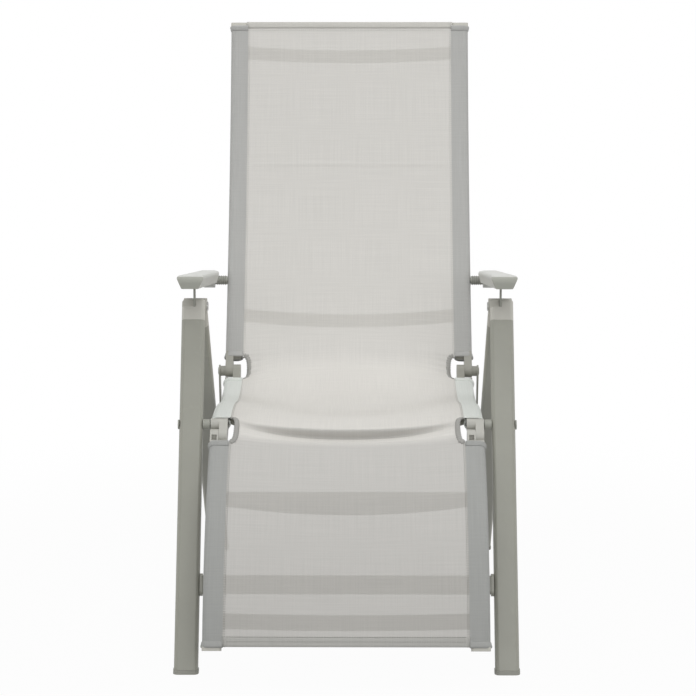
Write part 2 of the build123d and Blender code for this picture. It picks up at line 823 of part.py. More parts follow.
# Seat: its paths run forward, so behind its face is the low side
seat_behind = -1
pair("seat_tube", make_side_tube(seat_path))
nodes["seat_rear_bar"] = make_bar(seat_path, seat_bar_shares[0], seat_bow, seat_behind)
nodes["seat_front_bar"] = make_bar(seat_path, seat_bar_shares[1], seat_bow, seat_behind)
for name, side in (("left", 1), ("right", -1)):
    nodes[f"seat_front_knuckle_{name}"] = same_hand(make_seat_front_knuckle(), side)
    nodes[f"footrest_knuckle_{name}"] = same_hand(make_footrest_knuckle(), side)
pair("seat_rear_knuckle", make_rear_knuckle(seat_path, inner_lug))
nodes["front_hinge_pins"] = on_both_sides(make_front_pin(side_centre_x))
pair("rear_axle", make_rear_axle())

# Back: its path runs up, so behind its face is the rear side
back_behind = 1
back_tube = make_side_tube(back_path) - through_tube(arm_pivot, stub_diameter)
pair("back_tube", back_tube)
nodes["back_lower_bar"] = make_bar(back_path, back_bar_shares[0], back_bow, back_behind)
nodes["back_upper_bar"] = make_bar(back_path, back_bar_shares[1], back_bow, back_behind)
pair("back_knuckle", make_rear_knuckle(back_path, outer_lug))
pair("back_cap", make_tube_cap(back_path, False, back_cap_height))

# Footrest: its path runs down, so behind its face is the low side
footrest_behind = -1
pair("footrest_tube", make_side_tube(footrest_path))
nodes["footrest_upper_bar"] = make_bar(
    footrest_path, footrest_bar_shares[0], footrest_bow, footrest_behind
)
nodes["footrest_lower_bar"] = make_bar(
    footrest_path, footrest_bar_shares[1], footrest_bow, footrest_behind
)
nodes["footrest_caps"] = on_both_sides(make_tube_cap(footrest_path, False, footrest_cap_height))

# Fabric: three stretched panels that nearly meet over the hinges
seat_rear_face = face_point(seat_path, 0, seat_behind)
back_low_face = face_point(back_path, 0, back_behind)
seat_front_face = face_point(seat_path, 1, seat_behind)
footrest_high_face = face_point(footrest_path, 0, footrest_behind)


def bridges(first, second):
    """Two strips that run towards each other and stop half a gap short of meeting."""
    length = hypot(second[0] - first[0], second[1] - first[1])
    near = toward(first, second, 0.5 - bridge_gap / 2 / length)
    far = toward(first, second, 0.5 + bridge_gap / 2 / length)
    return make_bridge(first, near), make_bridge(second, far)


rear_seat_bridge, back_bridge = bridges(seat_rear_face, back_low_face)
front_seat_bridge, footrest_bridge = bridges(seat_front_face, footrest_high_face)
stub_hole = disc(arm_pivot, stub_diameter / 2 + clearance, side_inner_x - overrun, side_outer_x + overrun)
nodes["back_fabric"] = make_fabric(back_path, back_bar_shares, back_behind, back_bridge) - (
    on_both_sides(stub_hole)
)
nodes["seat_fabric"] = make_fabric(
    seat_path, seat_bar_shares, seat_behind, rear_seat_bridge + front_seat_bridge
)
nodes["footrest_fabric"] = make_fabric(
    footrest_path, footrest_bar_shares, footrest_behind, footrest_bridge
)

pair("arm_stub", make_arm_stub())
pair("armrest", make_armrest())
pair("armrest_rack", make_rack())
pair("armrest_front_cap", make_arm_front_cap())
pair("armrest_screws", make_arm_screws())

# The origin lies under the middle of the chair's depth
foremost = nodes["footrest_caps"].bounding_box().min.Y
rearmost = nodes["back_cap_left"].bounding_box().max.Y
depth_middle = (foremost + rearmost) / 2

os.makedirs("parts", exist_ok=True)
for name, part in nodes.items():
    placed = Pos(0, -depth_middle, 0) * part
    placed.label = name
    export_step(placed, f"parts/{name}.step")

print("joint places, y and z from the origin, in millimetres")
for name, place in (
    ("leg hinge", leg_hinge),
    ("seat pivot", seat_pivot),
    ("rear hinge", rear_hinge),
    ("front hinge", front_hinge),
    ("stay rivet", stay_rivet),
    ("arm pivot", arm_pivot),
    ("tongue pin", tongue_pin),
    ("front foot", front_foot),
    ("rear foot", rear_foot),
):
    print(f"{name}: {place[0] - depth_middle:.3f}, {place[1]:.3f}")
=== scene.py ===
import json
import logging
import math
from collections.abc import Iterable, Sequence
from dataclasses import dataclass, field, replace
from enum import Enum

import bmesh
import bpy
import numpy as np
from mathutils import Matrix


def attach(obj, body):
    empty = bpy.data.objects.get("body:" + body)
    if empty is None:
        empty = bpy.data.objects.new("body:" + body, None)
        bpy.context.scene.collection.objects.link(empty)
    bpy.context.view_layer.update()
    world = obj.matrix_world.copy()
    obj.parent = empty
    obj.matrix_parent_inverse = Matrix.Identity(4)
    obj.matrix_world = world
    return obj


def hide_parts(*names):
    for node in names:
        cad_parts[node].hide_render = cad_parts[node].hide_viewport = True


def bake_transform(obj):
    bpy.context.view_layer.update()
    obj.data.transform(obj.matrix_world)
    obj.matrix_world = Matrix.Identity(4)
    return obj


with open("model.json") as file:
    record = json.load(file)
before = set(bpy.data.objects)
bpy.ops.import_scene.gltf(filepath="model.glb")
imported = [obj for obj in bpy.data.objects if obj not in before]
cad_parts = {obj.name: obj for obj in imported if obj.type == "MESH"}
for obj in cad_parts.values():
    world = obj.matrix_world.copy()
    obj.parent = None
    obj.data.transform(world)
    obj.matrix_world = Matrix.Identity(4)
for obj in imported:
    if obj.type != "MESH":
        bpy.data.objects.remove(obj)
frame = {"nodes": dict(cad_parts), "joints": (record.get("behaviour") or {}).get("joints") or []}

logging.basicConfig(level=logging.INFO, format="%(message)s")
log = logging.getLogger("chair")

# The row frame is in metres: +Z up, the sitter faces -Y, +X is the sitter's left.
# Side-view points are (y, z). The sheet is followed from the top of the back to the
# end of the footrest, so its face lies on the right of that direction.

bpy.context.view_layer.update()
WHITE = (1.0, 1.0, 1.0, 1.0)

Pair = tuple[float, float]
Triple = tuple[float, float, float]
Faces = list[tuple[int, ...]]
Shell = tuple[Sequence, Faces]
Socket = bpy.types.NodeSocket
Feed = Socket | float | tuple

# Cubic through two points with their tangents: powers of the share by start, its tangent, end, its tangent
HERMITE = np.array(((2, 1, -2, 1), (-3, -2, 3, -1), (0, 1, 0, 0), (1, 0, 0, 0)))


def side(point: Sequence[float]) -> np.ndarray:
    """Side-view point as an array.

    Args:
        point: Two numbers, y and z.

    Returns:
        A numpy array of the two.
    """
    return np.array(point, float)


def distance(first: np.ndarray, second: np.ndarray) -> float:
    """Length between two side-view points.

    Args:
        first: One point.
        second: The other point.

    Returns:
        The length in metres.
    """
    return float(np.hypot(*(second - first)))


def right_of(direction: np.ndarray) -> np.ndarray:
    """Side-view direction a quarter turn to the right.

    Args:
        direction: A direction.

    Returns:
        The turned direction, which is the sitter's side of the sheet.
    """
    return np.array((direction[1], -direction[0]))


def joint_place(name: str) -> np.ndarray:
    """Side-view place of a joint of the frame.

    Args:
        name: The joint's name in the record.

    Returns:
        Its y and z as an array.
    """
    found = next(j for j in frame["joints"] if j["name"] == name)
    return side(found["pos_m"][1:])


def eased(value: float, low: float, high: float) -> float:
    """Smooth step from 0 to 1.

    Args:
        value: Where to read it.
        low: Where it leaves 0.
        high: Where it reaches 1.

    Returns:
        A number from 0 to 1.
    """
    share = min(1.0, max(0.0, (value - low) / (high - low)))
    return share * share * (3 - 2 * share)


class Region(Enum):
    """Stretches of the sheet, from the top of the back to the footrest's end."""

    BACK = 0
    REAR_BRIDGE = 1
    SEAT = 2
    FRONT_BRIDGE = 3
    FOOTREST = 4


class SideArc:
    """Circular arc in the side view whose middle lies right of its chord by sag."""

    def __init__(self, start: np.ndarray, end: np.ndarray, sag: float) -> None:
        """Fits the arc.

        Args:
            start: First side-view point.
            end: Last side-view point.
            sag: Height of the arc over its chord, to the right of its direction.
        """
        span = distance(start, end)
        self.along = (end - start) / span
        self.outward = right_of(self.along) * (1 if sag > 0 else -1)
        self.radius = (span**2 / 4 + sag**2) / (2 * abs(sag))
        self.half_turn = 2 * math.atan(2 * abs(sag) / span)
        self.centre = (start + end) / 2 + self.outward * (abs(sag) - self.radius)
        self.length = 2 * self.half_turn * self.radius

    def at(self, travel: float) -> tuple[np.ndarray, np.ndarray]:
        """Point and direction on the arc.

        Args:
            travel: Length from the start, in metres.

        Returns:
            The side-view point and the unit direction there.
        """
        turn = travel / self.radius - self.half_turn
        cosine, sine = math.cos(turn), math.sin(turn)
        point = self.centre + self.radius * (cosine * self.outward + sine * self.along)
        return point, cosine * self.along - sine * self.outward


def sag_for_tangent(start: np.ndarray, end: np.ndarray, tangent: np.ndarray) -> float:
    """Sag of the arc that leaves its start along a tangent.

    Args:
        start: First side-view point.
        end: Last side-view point.
        tangent: Direction at the start.

    Returns:
        The sag to the right of the direction from start to end.
    """
    chord = end - start
    turn = math.atan2(tangent[1], tangent[0]) - math.atan2(chord[1], chord[0])
    turn = (turn + math.pi) % (2 * math.pi) - math.pi
    return -distance(start, end) / 2 * math.tan(turn / 2)


@dataclass(frozen=True)
class TubeLines:
    """Middle lines of the side tubes in the side view, measured from the joints.

    Args:
        back_start: Lower end of the back's tubes from the rear pivot.
        back_length: Their straight length.
        back_lean: Their lean in degrees.
        back_sag: How far they bow.
        seat_rear: Rear end of the seat's tubes from the rear pivot.
        seat_front: Their front end from the seat's pivot.
        seat_middle: Share of the seat's depth at which its dip ends.
        seat_drop: How far that place lies under the straight line.
        seat_dip: Depth of the dip as a share of its length.
        footrest_reach: Upper end of the footrest's tubes from its pivot.
        footrest_drop: Angle of that end in degrees.
        footrest_gap: Height of their lower end over the floor.
        footrest_lean: Their lean in degrees.
        footrest_sag: How far they bow.
    """

    back_start: Pair = (0.031, 0.032)
    back_length: float = 0.6973
    back_lean: float = 24.2
    back_sag: float = 0.026
    seat_rear: Pair = (-0.018, -0.023)
    seat_front: Pair = (0.019, -0.002)
    seat_middle: float = 0.56
    seat_drop: float = 0.0048
    seat_dip: float = 0.05
    footrest_reach: float = 0.022
    footrest_drop: float = 36.0
    footrest_gap: float = 0.071
    footrest_lean: float = 37.4
    footrest_sag: float = 0.030

    def arcs(self) -> dict[Region, list[SideArc]]:
        """Arcs of each pair of tubes.

        Returns:
            The arcs by region, followed from the top down.
        """
        rear, pivot = joint_place("rear_pivot_turn"), joint_place("seat_turn")
        front = joint_place("footrest_raise")
        lean, drop = math.radians(self.back_lean), math.radians(self.footrest_drop)
        start = rear + side(self.back_start)
        top = start + self.back_length * side((math.sin(lean), math.cos(lean)))
        seat_rear, seat_front = rear + side(self.seat_rear), pivot + side(self.seat_front)
        middle = seat_rear + (seat_front - seat_rear) * self.seat_middle
        middle[1] -= self.seat_drop
        dip = SideArc(seat_rear, middle, -self.seat_dip * (seat_rear[0] - middle[0]))
        leaving = dip.at(dip.length)[1]
        crown = SideArc(middle, seat_front, sag_for_tangent(middle, seat_front, leaving))
        upper = front - self.footrest_reach * side((math.cos(drop), math.sin(drop)))
        slope = side((math.tan(math.radians(self.footrest_lean)), 1.0))
        lower = front - (front[1] - self.footrest_gap) * slope
        return {
            Region.BACK: [SideArc(top, start, -self.back_sag)],
            Region.SEAT: [dip, crown],
            Region.FOOTREST: [SideArc(upper, lower, self.footrest_sag)],
        }


@dataclass(frozen=True)
class TubeSection:
    """Section of a side tube and of the sleeve round it, at +X.

    Args:
        width: The tube's size across the chair.
        depth: Its size square to the sheet.
        middle_x: Its middle's place across the chair.
        seam_x: Where the sleeve is sewn to the sheet.
        sleeve_gap: How far the sleeve stands off the tube.
        face_gap: How far the sheet's face stands off it.
        seam_points: Steps from the seam to the tube's round.
        turn: Degrees between the points on the tube's rounds.
        tuck: How far the sleeve's end lies in from the seam and under it.
    """

    width: float = 0.030
    depth: float = 0.019
    middle_x: float = 0.2285
    seam_x: float = 0.2095
    sleeve_gap: float = 0.0013
    face_gap: float = 0.0011
    seam_points: int = 6
    turn: int = 15
    tuck: Pair = (0.0004, 0.0012)

    @property
    def face_rise(self) -> float:
        """Height of the sheet's face over the tube's middle."""
        return self.depth / 2 + self.face_gap

    def outline(self, stand_off: float = 0.0) -> list[Pair]:
        """Line of the sleeve round the tube, from the seam's face side to its back.

        Args:
            stand_off: How far it stands off the sleeve itself.

        Returns:
            Pairs (x, rise).
        """
        flat = (self.width - self.depth) / 2
        radius = self.depth / 2 + (self.sleeve_gap + stand_off)
        outer, inner = self.middle_x + flat, self.middle_x - flat
        shares = [k / self.seam_points for k in range(self.seam_points + 1)]
        climb = radius - self.face_rise
        line = [(self.seam_x + (outer - self.seam_x) * s, self.face_rise + climb * s) for s in shares]
        outer_round = [(outer, a) for a in range(90 - self.turn, -91, -self.turn)]
        inner_round = [(inner, a) for a in range(-90, -91 - 8 * self.turn, -self.turn)]
        for centre, angle in [*outer_round, (self.middle_x, -90), *inner_round]:
            turn = math.radians(angle)
            line.append((centre + radius * math.cos(turn), radius * math.sin(turn)))
        line.append((self.seam_x + self.tuck[0], self.face_rise - self.tuck[1]))
        return line

    def girth(self) -> list[float]:
        """Length along the sleeve's outline at each of its points, from the seam."""
        line = self.outline()
        return np.cumsum([0.0] + [math.dist(a, b) for a, b in zip(line, line[1:])]).tolist()


@dataclass(frozen=True)
class Row:
    """One row of the sheet across the chair.

    Args:
        region: The stretch that it lies in.
        edge: Side-view point of the sheet's face at its seams.
        direction: Unit direction of travel there.
        half_width: Half the sheet's width between its seams or bound edges.
        centre: Side-view middle of the side tube, or None on a bridge.
        travel: Length from the top of the back.
    """

    region: Region
    edge: np.ndarray
    direction: np.ndarray
    half_width: float
    centre: np.ndarray | None
    travel: float

    def placed(self, x: float, rise: float) -> np.ndarray:
        """Point of the row's section over a side tube.

        Args:
            x: Place across the chair.
            rise: Height over the tube's middle towards the sitter.

        Returns:
            The point in the row frame.
        """
        return np.array((x, *(self.centre + right_of(self.direction) * rise)))


@dataclass(frozen=True)
class FrontFold:
    """Fold that the cloth falls into past the seat's front.

    Args:
        lag: Where it starts past the seat's last row.
        drop: Length over which it reaches its depth.
        length: Its whole length.
        depth: Its depth in the chair's middle.
        inward: Side-view direction of the depth.
    """

    lag: float = 0.009
    drop: float = 0.0125
    length: float = 0.047
    depth: float = 0.018
    inward: Pair = (0.62, -0.78)

    def depth_at(self, into: float) -> float:
        """Depth of the fold.

        Args:
            into: Length past its start.

        Returns:
            The depth in metres, 0 outside the fold.
        """
        if not 0 < into < self.length:
            return 0.0
        fall = min(1.0, (self.length - into) / (self.length - self.drop))
        return self.depth * eased(into, 0.0, self.drop) * fall


@dataclass(frozen=True)
class Drape:
    """Painted light and shade in the cloth's colour, and how closed the cloth looks, on the back, the seat and the
    footrest.

    Args:
        tones: Factor on the cloth's colour on each, painted light: raised on the seat, lowered on the footrest.
        opacities: Share of the light that the cloth stops on each.
        rear_change: Where back turns to seat, from the rear bridge's middle.
        front_change: Where seat turns to footrest, from the fold's start.
        shade_in: Where the fold's painted shade comes in, from the fold's start.
        shade_out: Where it ends.
        shade_depth: Share of the colour that the painted shade takes.
    """

    # Painted light: the seat's colour is raised as if lit from above, the footrest's lowered as if in dimmer light.
    tones: Triple = (0.99, 1.10, 0.80)
    opacities: Triple = (0.915, 0.97, 0.90)
    rear_change: Pair = (-0.035, 0.030)
    front_change: Pair = (0.034, 0.060)
    shade_in: Pair = (-0.004, 0.005)
    shade_out: Pair = (0.012, 0.020)
    shade_depth: float = 0.29

    def at(self, past_rear: float, past_fold: float) -> Triple:
        """Look of the cloth at one row.

        Args:
            past_rear: Length past the rear bridge's middle.
            past_fold: Length past the fold's start.

        Returns:
            Tone with its painted light and shade, opacity, and the fold's painted shade.
        """
        seat, foot = eased(past_rear, *self.rear_change), eased(past_fold, *self.front_change)
        tone, opacity = (
            back + (middle - back) * seat + (end - middle) * foot
            for back, middle, end in (self.tones, self.opacities)
        )
        # Painted shade over the fold's drop, where the cloth faces away from the light.
        shade = eased(past_fold, *self.shade_in) * (1 - eased(past_fold, *self.shade_out))
        return tone, opacity, self.shade_depth * shade


@dataclass(frozen=True)
class Creases:
    """Small creases beside the cut-outs' bound edges.

    Args:
        pitch: Length of one crease.
        depth: Its height.
        reach: How fast it fades towards the middle.
        start: Width over which it rises from the edge.
        overrun: How far the creases run past the cut-outs.
    """

    pitch: float = 0.0135
    depth: float = 0.0010
    reach: float = 0.022
    start: float = 0.004
    overrun: float = 0.012

    def heights(self, inside: np.ndarray, travel: float, fade: float) -> np.ndarray:
        """Heights along one row.

        Args:
            inside: Distance in from the row's edge.
            travel: Length from the top of the back.
            fade: Share of their height that the row has.

        Returns:
            One height for each distance.
        """
        wave = math.sin(2 * math.pi * travel / self.pitch)
        envelope = np.exp(-inside / self.reach) * np.minimum(1.0, inside / self.start)
        return self.depth * envelope * fade * wave


# Meshes


def new_object(name: str, vertices: Iterable, faces: Faces, smooth: bool = True) -> bpy.types.Object:
    """Mesh object at the origin with its place in its vertices.

    Args:
        name: Object name.
        vertices: Points in the row frame.
        faces: Lists of vertex indices.
        smooth: Whether its faces are shaded smooth.

    Returns:
        The linked object.
    """
    mesh = bpy.data.meshes.new(name)
    mesh.from_pydata([tuple(map(float, v)) for v in vertices], [], faces)
    mesh.validate()
    for polygon in mesh.polygons:
        polygon.use_smooth = smooth
    obj = bpy.data.objects.new(name, mesh)
    bpy.context.scene.collection.objects.link(obj)
    return obj


def turned_outward(obj: bpy.types.Object) -> bpy.types.Object:
    """Points the faces of closed shells outwards.

    Args:
        obj: The mesh object.

    Returns:
        The same object.
    """
    work = bmesh.new()
    work.from_mesh(obj.data)
    bmesh.ops.recalc_face_normals(work, faces=work.faces)
    work.to_mesh(obj.data)
    work.free()
    return obj


def set_vectors(obj: bpy.types.Object, name: str, values: np.ndarray) -> None:
    """Stores two or three numbers per vertex for the cloth's shader.

    Args:
        obj: The mesh object.
        name: The attribute's name.
        values: Array (vertices, numbers).
    """
    vectors = np.zeros((len(obj.data.vertices), 3), np.float32)
    vectors[:, : values.shape[1]] = values
    layer = obj.data.attributes.new(name, "FLOAT_VECTOR", "POINT")
    layer.data.foreach_set("vector", vectors.ravel())


def lofted(rings: np.ndarray) -> Shell:
    """Closed shell through rings of equal count, both ends filled.

    Args:
        rings: Array (rings, points, 3).

    Returns:
        The vertex array and the face list.
    """
    count, size = rings.shape[:2]
    faces = []
    for i in range(count - 1):
        for j in range(size):
            k = (j + 1) % size
            faces.append((i * size + j, i * size + k, (i + 1) * size + k, (i + 1) * size + j))
    faces.append(tuple(range(size))[::-1])
    faces.append(tuple((count - 1) * size + j for j in range(size)))
    return rings.reshape(-1, 3), faces


def joined(parts: Iterable[Shell]) -> Shell:
    """One shell from several.

    Args:
        parts: Pairs of vertices and faces.

    Returns:
        The joined pair.
    """
    vertices, faces, offset = [], [], 0
    for points, quads in parts:
        vertices.extend(points)
        faces.extend(tuple(offset + i for i in face) for face in quads)
        offset += len(points)
    return vertices, faces


# The sheet's shape


@dataclass
class Sheet:
    """The one stretched sheet with its sleeves: its rows, points and normals.

    Args:
        tube: Section of the side tubes and sleeves.
        lines: Their middle lines.
        fold: The fold past the seat's front.
        drape: How the cloth's look changes along it, with its painted light and shade.
        creases: Creases beside the cut-outs.
        row_step: Length between rows over the tubes.
        half_columns: Columns from the middle to a seam.
        top_reach: How far the sheet reaches past the top of the tubes.
        sleeve_overhang: How far the back's sleeves reach past the tubes' lower end.
        bridge_setback: How far the bridges' edges are cut back.
        bridge_power: How square the cut-outs are.
        bridge_pull: How strongly a bridge leaves along the tubes.
        bridge_slack: Length of a bridge over its gap, roughly.
        bridge_fineness: Its row step as a share of the other rows'.
        least_rows: Fewest steps in a bridge.
        relax_steps: Rounds of the relaxation.
        along_tension: Pull along the sheet as a share of the pull across it.
        seat_sag: How far the seat's middle sags.
        sag_power: How square that sag is across the chair.
        fold_power: How square the fold and its painted shade are across the chair.
        back_line: Place of the thin line across the back.
        back_line_height: Its height.
        back_line_power: How square it is across the chair.
        pucker_height: Unevenness of the cloth over the tubes.
        pucker_waves: Its waves per metre along and per point round the tube.
    """

    tube: TubeSection = TubeSection()
    lines: TubeLines = TubeLines()
    fold: FrontFold = FrontFold()
    drape: Drape = Drape()
    creases: Creases = Creases()
    row_step: float = 0.004
    half_columns: int = 26
    top_reach: float = 0.0085
    sleeve_overhang: float = 0.012
    bridge_setback: float = 0.0105
    bridge_power: float = 2.6
    bridge_pull: float = 1.1
    bridge_slack: float = 1.15
    bridge_fineness: float = 0.6
    least_rows: int = 6
    relax_steps: int = 2600
    along_tension: float = 0.30
    seat_sag: float = 0.004
    sag_power: int = 2
    fold_power: int = 3
    back_line: float = 0.297
    back_line_height: float = 0.0011
    back_line_power: int = 8
    pucker_height: float = 0.00022
    pucker_waves: tuple[Pair, Pair] = ((61.0, 0.9), (23.0, 0.37))

    def __post_init__(self) -> None:
        """Works out the rows, the relaxed points and their normals."""
        self.across = np.linspace(-1, 1, 2 * self.half_columns + 1)
        self.outline, self.girth = self.tube.outline(), self.tube.girth()
        self.rows = self._rows()
        rear = self.span(Region.REAR_BRIDGE)
        self.rear_middle = self.rows[rear[len(rear) // 2]].travel
        self.fold_start = self.rows[self.span(Region.SEAT)[-1]].travel + self.fold.lag
        self.points = self._relaxed()
        self._settle()
        self.normals = self._normals()
        self._crease()

    def _rows(self) -> list[Row]:
        """All rows, from the top of the back to the footrest's end.

        Returns:
            The list of rows, two of them past the top of the tubes.
        """
        arcs = self.lines.arcs()
        rows = self._tube_rows(Region.BACK, arcs[Region.BACK], 0.0, self.sleeve_overhang)
        first = rows[0]
        over = [
            replace(first, edge=first.edge - first.direction * reach, centre=None, travel=-reach)
            for reach in (self.top_reach, self.top_reach / 2)
        ]
        for bridge, region in ((Region.REAR_BRIDGE, Region.SEAT), (Region.FRONT_BRIDGE, Region.FOOTREST)):
            after = self._tube_rows(region, arcs[region], 0.0)[0]
            rows += self._bridge_rows(bridge, rows[-1], after)
            start = rows[-1].travel + distance(rows[-1].edge, after.edge)
            rows += self._tube_rows(region, arcs[region], start)
        return over + rows

    def _tube_rows(self, region: Region, arcs: list[SideArc], travel: float, overhang: float = 0.0) -> list[Row]:
        """Rows over a pair of side tubes.

        Args:
            region: The stretch that the arcs belong to.
            arcs: The tubes' middle line.
            travel: Length from the top at the first row.
            overhang: How far the sleeves reach past the tubes' end.

        Returns:
            The list of rows.
        """
        rows = []
        for index, arc in enumerate(arcs):
            reach = arc.length + (overhang if arc is arcs[-1] else 0.0)
            count = max(2, round(reach / self.row_step))
            for step in range(1 if index else 0, count + 1):
                along = reach * step / count
                point, direction = arc.at(along)
                edge = point + right_of(direction) * self.tube.face_rise
                rows.append(Row(region, edge, direction, self.tube.seam_x, point, travel + along))
            travel += reach
        return rows

    def _bridge_rows(self, region: Region, before: Row, after: Row) -> list[Row]:
        """Rows between two pairs of side tubes, where the sheet's edges are cut back.

        Args:
            region: The bridge's region.
            before: The last row above it.
            after: The first row below it.

        Returns:
            The rows strictly between the two.
        """
        gap = distance(before.edge, after.edge)
        steps = round(self.bridge_slack * gap / (self.row_step * self.bridge_fineness))
        count = max(self.least_rows, steps)
        pull = gap * self.bridge_pull
        ends = np.array((before.edge, before.direction * pull, after.edge, after.direction * pull))
        rows, travel, last = [], before.travel, before.edge
        for step in range(1, count):
            t = step / count
            point = np.array((t**3, t**2, t, 1)) @ HERMITE @ ends
            heading = np.array((3 * t**2, 2 * t, 1, 0)) @ HERMITE @ ends
            heading /= np.hypot(*heading)
            cut = (1 - abs(2 * t - 1) ** self.bridge_power) ** (1 / self.bridge_power)
            travel += distance(last, point)
            last = point
            half_width = self.tube.seam_x - self.bridge_setback * cut
            rows.append(Row(region, point, heading, half_width, None, travel))
        return rows

    def _relaxed(self) -> np.ndarray:
        """Taut membrane between the seams: each inner point is drawn to its neighbours.

        Returns:
            Points as an array (rows, columns, 3), the outer columns on the seams.
        """
        points = np.zeros((len(self.rows), len(self.across), 3))
        points[:, :, 0] = np.outer([r.half_width for r in self.rows], self.across)
        points[:, :, 1:] = np.array([r.edge for r in self.rows])[:, None, :]
        steps = np.diff([r.travel for r in self.rows])
        before, after = steps[:-1, None, None], steps[1:, None, None]
        column_step = 2 * self.tube.seam_x / (len(self.across) - 1)
        pull_before = self.along_tension * 2 / (before * (before + after))
        pull_after = self.along_tension * 2 / (after * (before + after))
        pull_across = 1 / column_step**2
        total = pull_before + pull_after + 2 * pull_across
        for _ in range(self.relax_steps):
            points[1:-1, 1:-1, 1:] = (
                pull_before * points[:-2, 1:-1, 1:]
                + pull_after * points[2:, 1:-1, 1:]
                + pull_across * (points[1:-1, :-2, 1:] + points[1:-1, 2:, 1:])
            ) / total
        return points

    def _settle(self) -> None:
        """Adds the seat's sag, the fold at its front and the thin line across the back."""
        sag, fold, line = (
            1 - np.abs(self.across) ** power for power in (self.sag_power, self.fold_power, self.back_line_power)
        )
        seat = self.span(Region.SEAT)
        for order, index in enumerate(seat):
            dip = math.sin(math.pi * order / (len(seat) - 1))
            self.points[index, :, 2] -= self.seat_sag * dip * sag
        for index, row in enumerate(self.rows):
            depth = self.fold.depth_at(row.travel - self.fold_start)
            self.points[index, :, 1:] += np.outer(depth * fold, self.fold.inward)
        nearest = min(range(len(self.rows)), key=lambda i: abs(self.rows[i].travel - self.back_line))
        self.points[nearest, :, 1] -= self.back_line_height * line

    def _normals(self) -> np.ndarray:
        """Unit normals of the points, towards the sitter.

        Returns:
            Array (rows, columns, 3).
        """
        normals = np.cross(np.gradient(self.points, axis=0), np.gradient(self.points, axis=1))
        return normals / np.linalg.norm(normals, axis=2)[:, :, None]

    def _crease(self) -> None:
        """Presses small creases into the points beside the cut-outs' bound edges."""
        for region in (Region.REAR_BRIDGE, Region.FRONT_BRIDGE):
            span = self.span(region)
            low = self.rows[span[0]].travel - self.creases.overrun
            high = self.rows[span[-1]].travel + self.creases.overrun
            for index, row in enumerate(self.rows):
                if low < row.travel < high:
                    fade = math.sin(math.pi * (row.travel - low) / (high - low))
                    inside = row.half_width * (1 - np.abs(self.across))
                    heights = self.creases.heights(inside, row.travel, fade)
                    self.points[index] += self.normals[index] * heights[:, None]

    def span(self, *regions: Region) -> list[int]:
        """Indices of the rows in some regions.

        Args:
            regions: The regions wanted.

        Returns:
            The list of row indices.
        """
        return [i for i, r in enumerate(self.rows) if r.region in regions]

    def halves(self, region: Region) -> tuple[list[int], list[int]]:
        """The rows of a bridge split at its middle, which both halves keep.

        Args:
            region: The bridge.

        Returns:
            Two lists of row indices.
        """
        found = self.span(region)
        middle = len(found) // 2
        return found[: middle + 1], found[middle:]

    def _wrap(self, row: Row, sign: int) -> list[np.ndarray]:
        """Points of a sleeve round its tube, from the seam on.

        Args:
            row: A row over the side tubes.
            sign: 1 for the side at +X, else -1.

        Returns:
            The points, the one on the seam left out.
        """
        points = []
        for place, (x, rise) in enumerate(self.outline[1:], start=1):
            waves = (math.sin(row.travel * along + place * turn) for along, turn in self.pucker_waves)
            pucker = self.pucker_height * math.prod(waves) if place > 1 else 0.0
            points.append(row.placed(sign * x, rise + pucker))
        return points

    def cross_section(self, index: int) -> tuple[list[np.ndarray], list[float]]:
        """All points of one row: one sleeve's back, its round, the sheet, and the same again.

        Args:
            index: The row's index.

        Returns:
            Points, and weave coordinates across.
        """
        row = self.rows[index]
        sheet, spread = list(self.points[index]), [row.half_width * a for a in self.across]
        if row.centre is None:
            return sheet, spread
        far = [self.tube.seam_x + length for length in self.girth[1:]]
        points = self._wrap(row, -1)[::-1] + sheet + self._wrap(row, 1)
        return points, [-d for d in far[::-1]] + spread + far

    def build(self, name: str, indices: list[int]) -> bpy.types.Object:
        """Mesh of some rows, with sleeves where there are tubes.

        Args:
            name: Object name.
            indices: Row indices in order.

        Returns:
            The object, with sleeve faces in its second material slot.
        """
        vertices, weave, faces, doubled, columns = [], [], [], [], []
        extra, size = len(self.outline) - 1, len(self.across)
        for index in indices:
            points, coordinates = self.cross_section(index)
            wide = len(points) > size
            columns.append((len(vertices) - (0 if wide else extra), wide))
            vertices.extend(points)
            weave.extend((c, self.rows[index].travel) for c in coordinates)
        for (first, wide_a), (second, wide_b) in zip(columns, columns[1:]):
            whole = wide_a and wide_b
            low, high = (0, size + 2 * extra - 1) if whole else (extra, extra + size - 1)
            for j in range(low, high):
                faces.append((first + j, second + j, second + j + 1, first + j + 1))
                doubled.append(j < extra or j >= extra + size - 1)
        obj = new_object(name, vertices, faces)
        set_vectors(obj, "weave", np.array(weave))
        # The drape attribute holds painted light and shade in its tone, and the cloth's opacity.
        set_vectors(obj, "drape", self._looks(weave))
        for polygon, over_tube in zip(obj.data.polygons, doubled):
            polygon.material_index = 1 if over_tube else 0
        return obj

    def _looks(self, weave: list[Pair]) -> np.ndarray:
        """Tone, opacity and the fold's painted shade at some places of the sheet; the tone holds painted light and
        shade.

        Args:
            weave: Places across and along the sheet.

        Returns:
            Array (places, 3).
        """
        travels = {travel for _, travel in weave}
        by_travel = {t: self.drape.at(t - self.rear_middle, t - self.fold_start) for t in travels}
        looks = np.array([by_travel[t] for _, t in weave])
        across = np.minimum(1.0, np.abs([c for c, _ in weave]) / self.tube.seam_x)
        # The fold's painted shade darkens the tone, most in the chair's middle.
        looks[:, 0] *= 1 - looks[:, 2] * (1 - across**self.fold_power)
        return looks


# What is sewn on the sheet


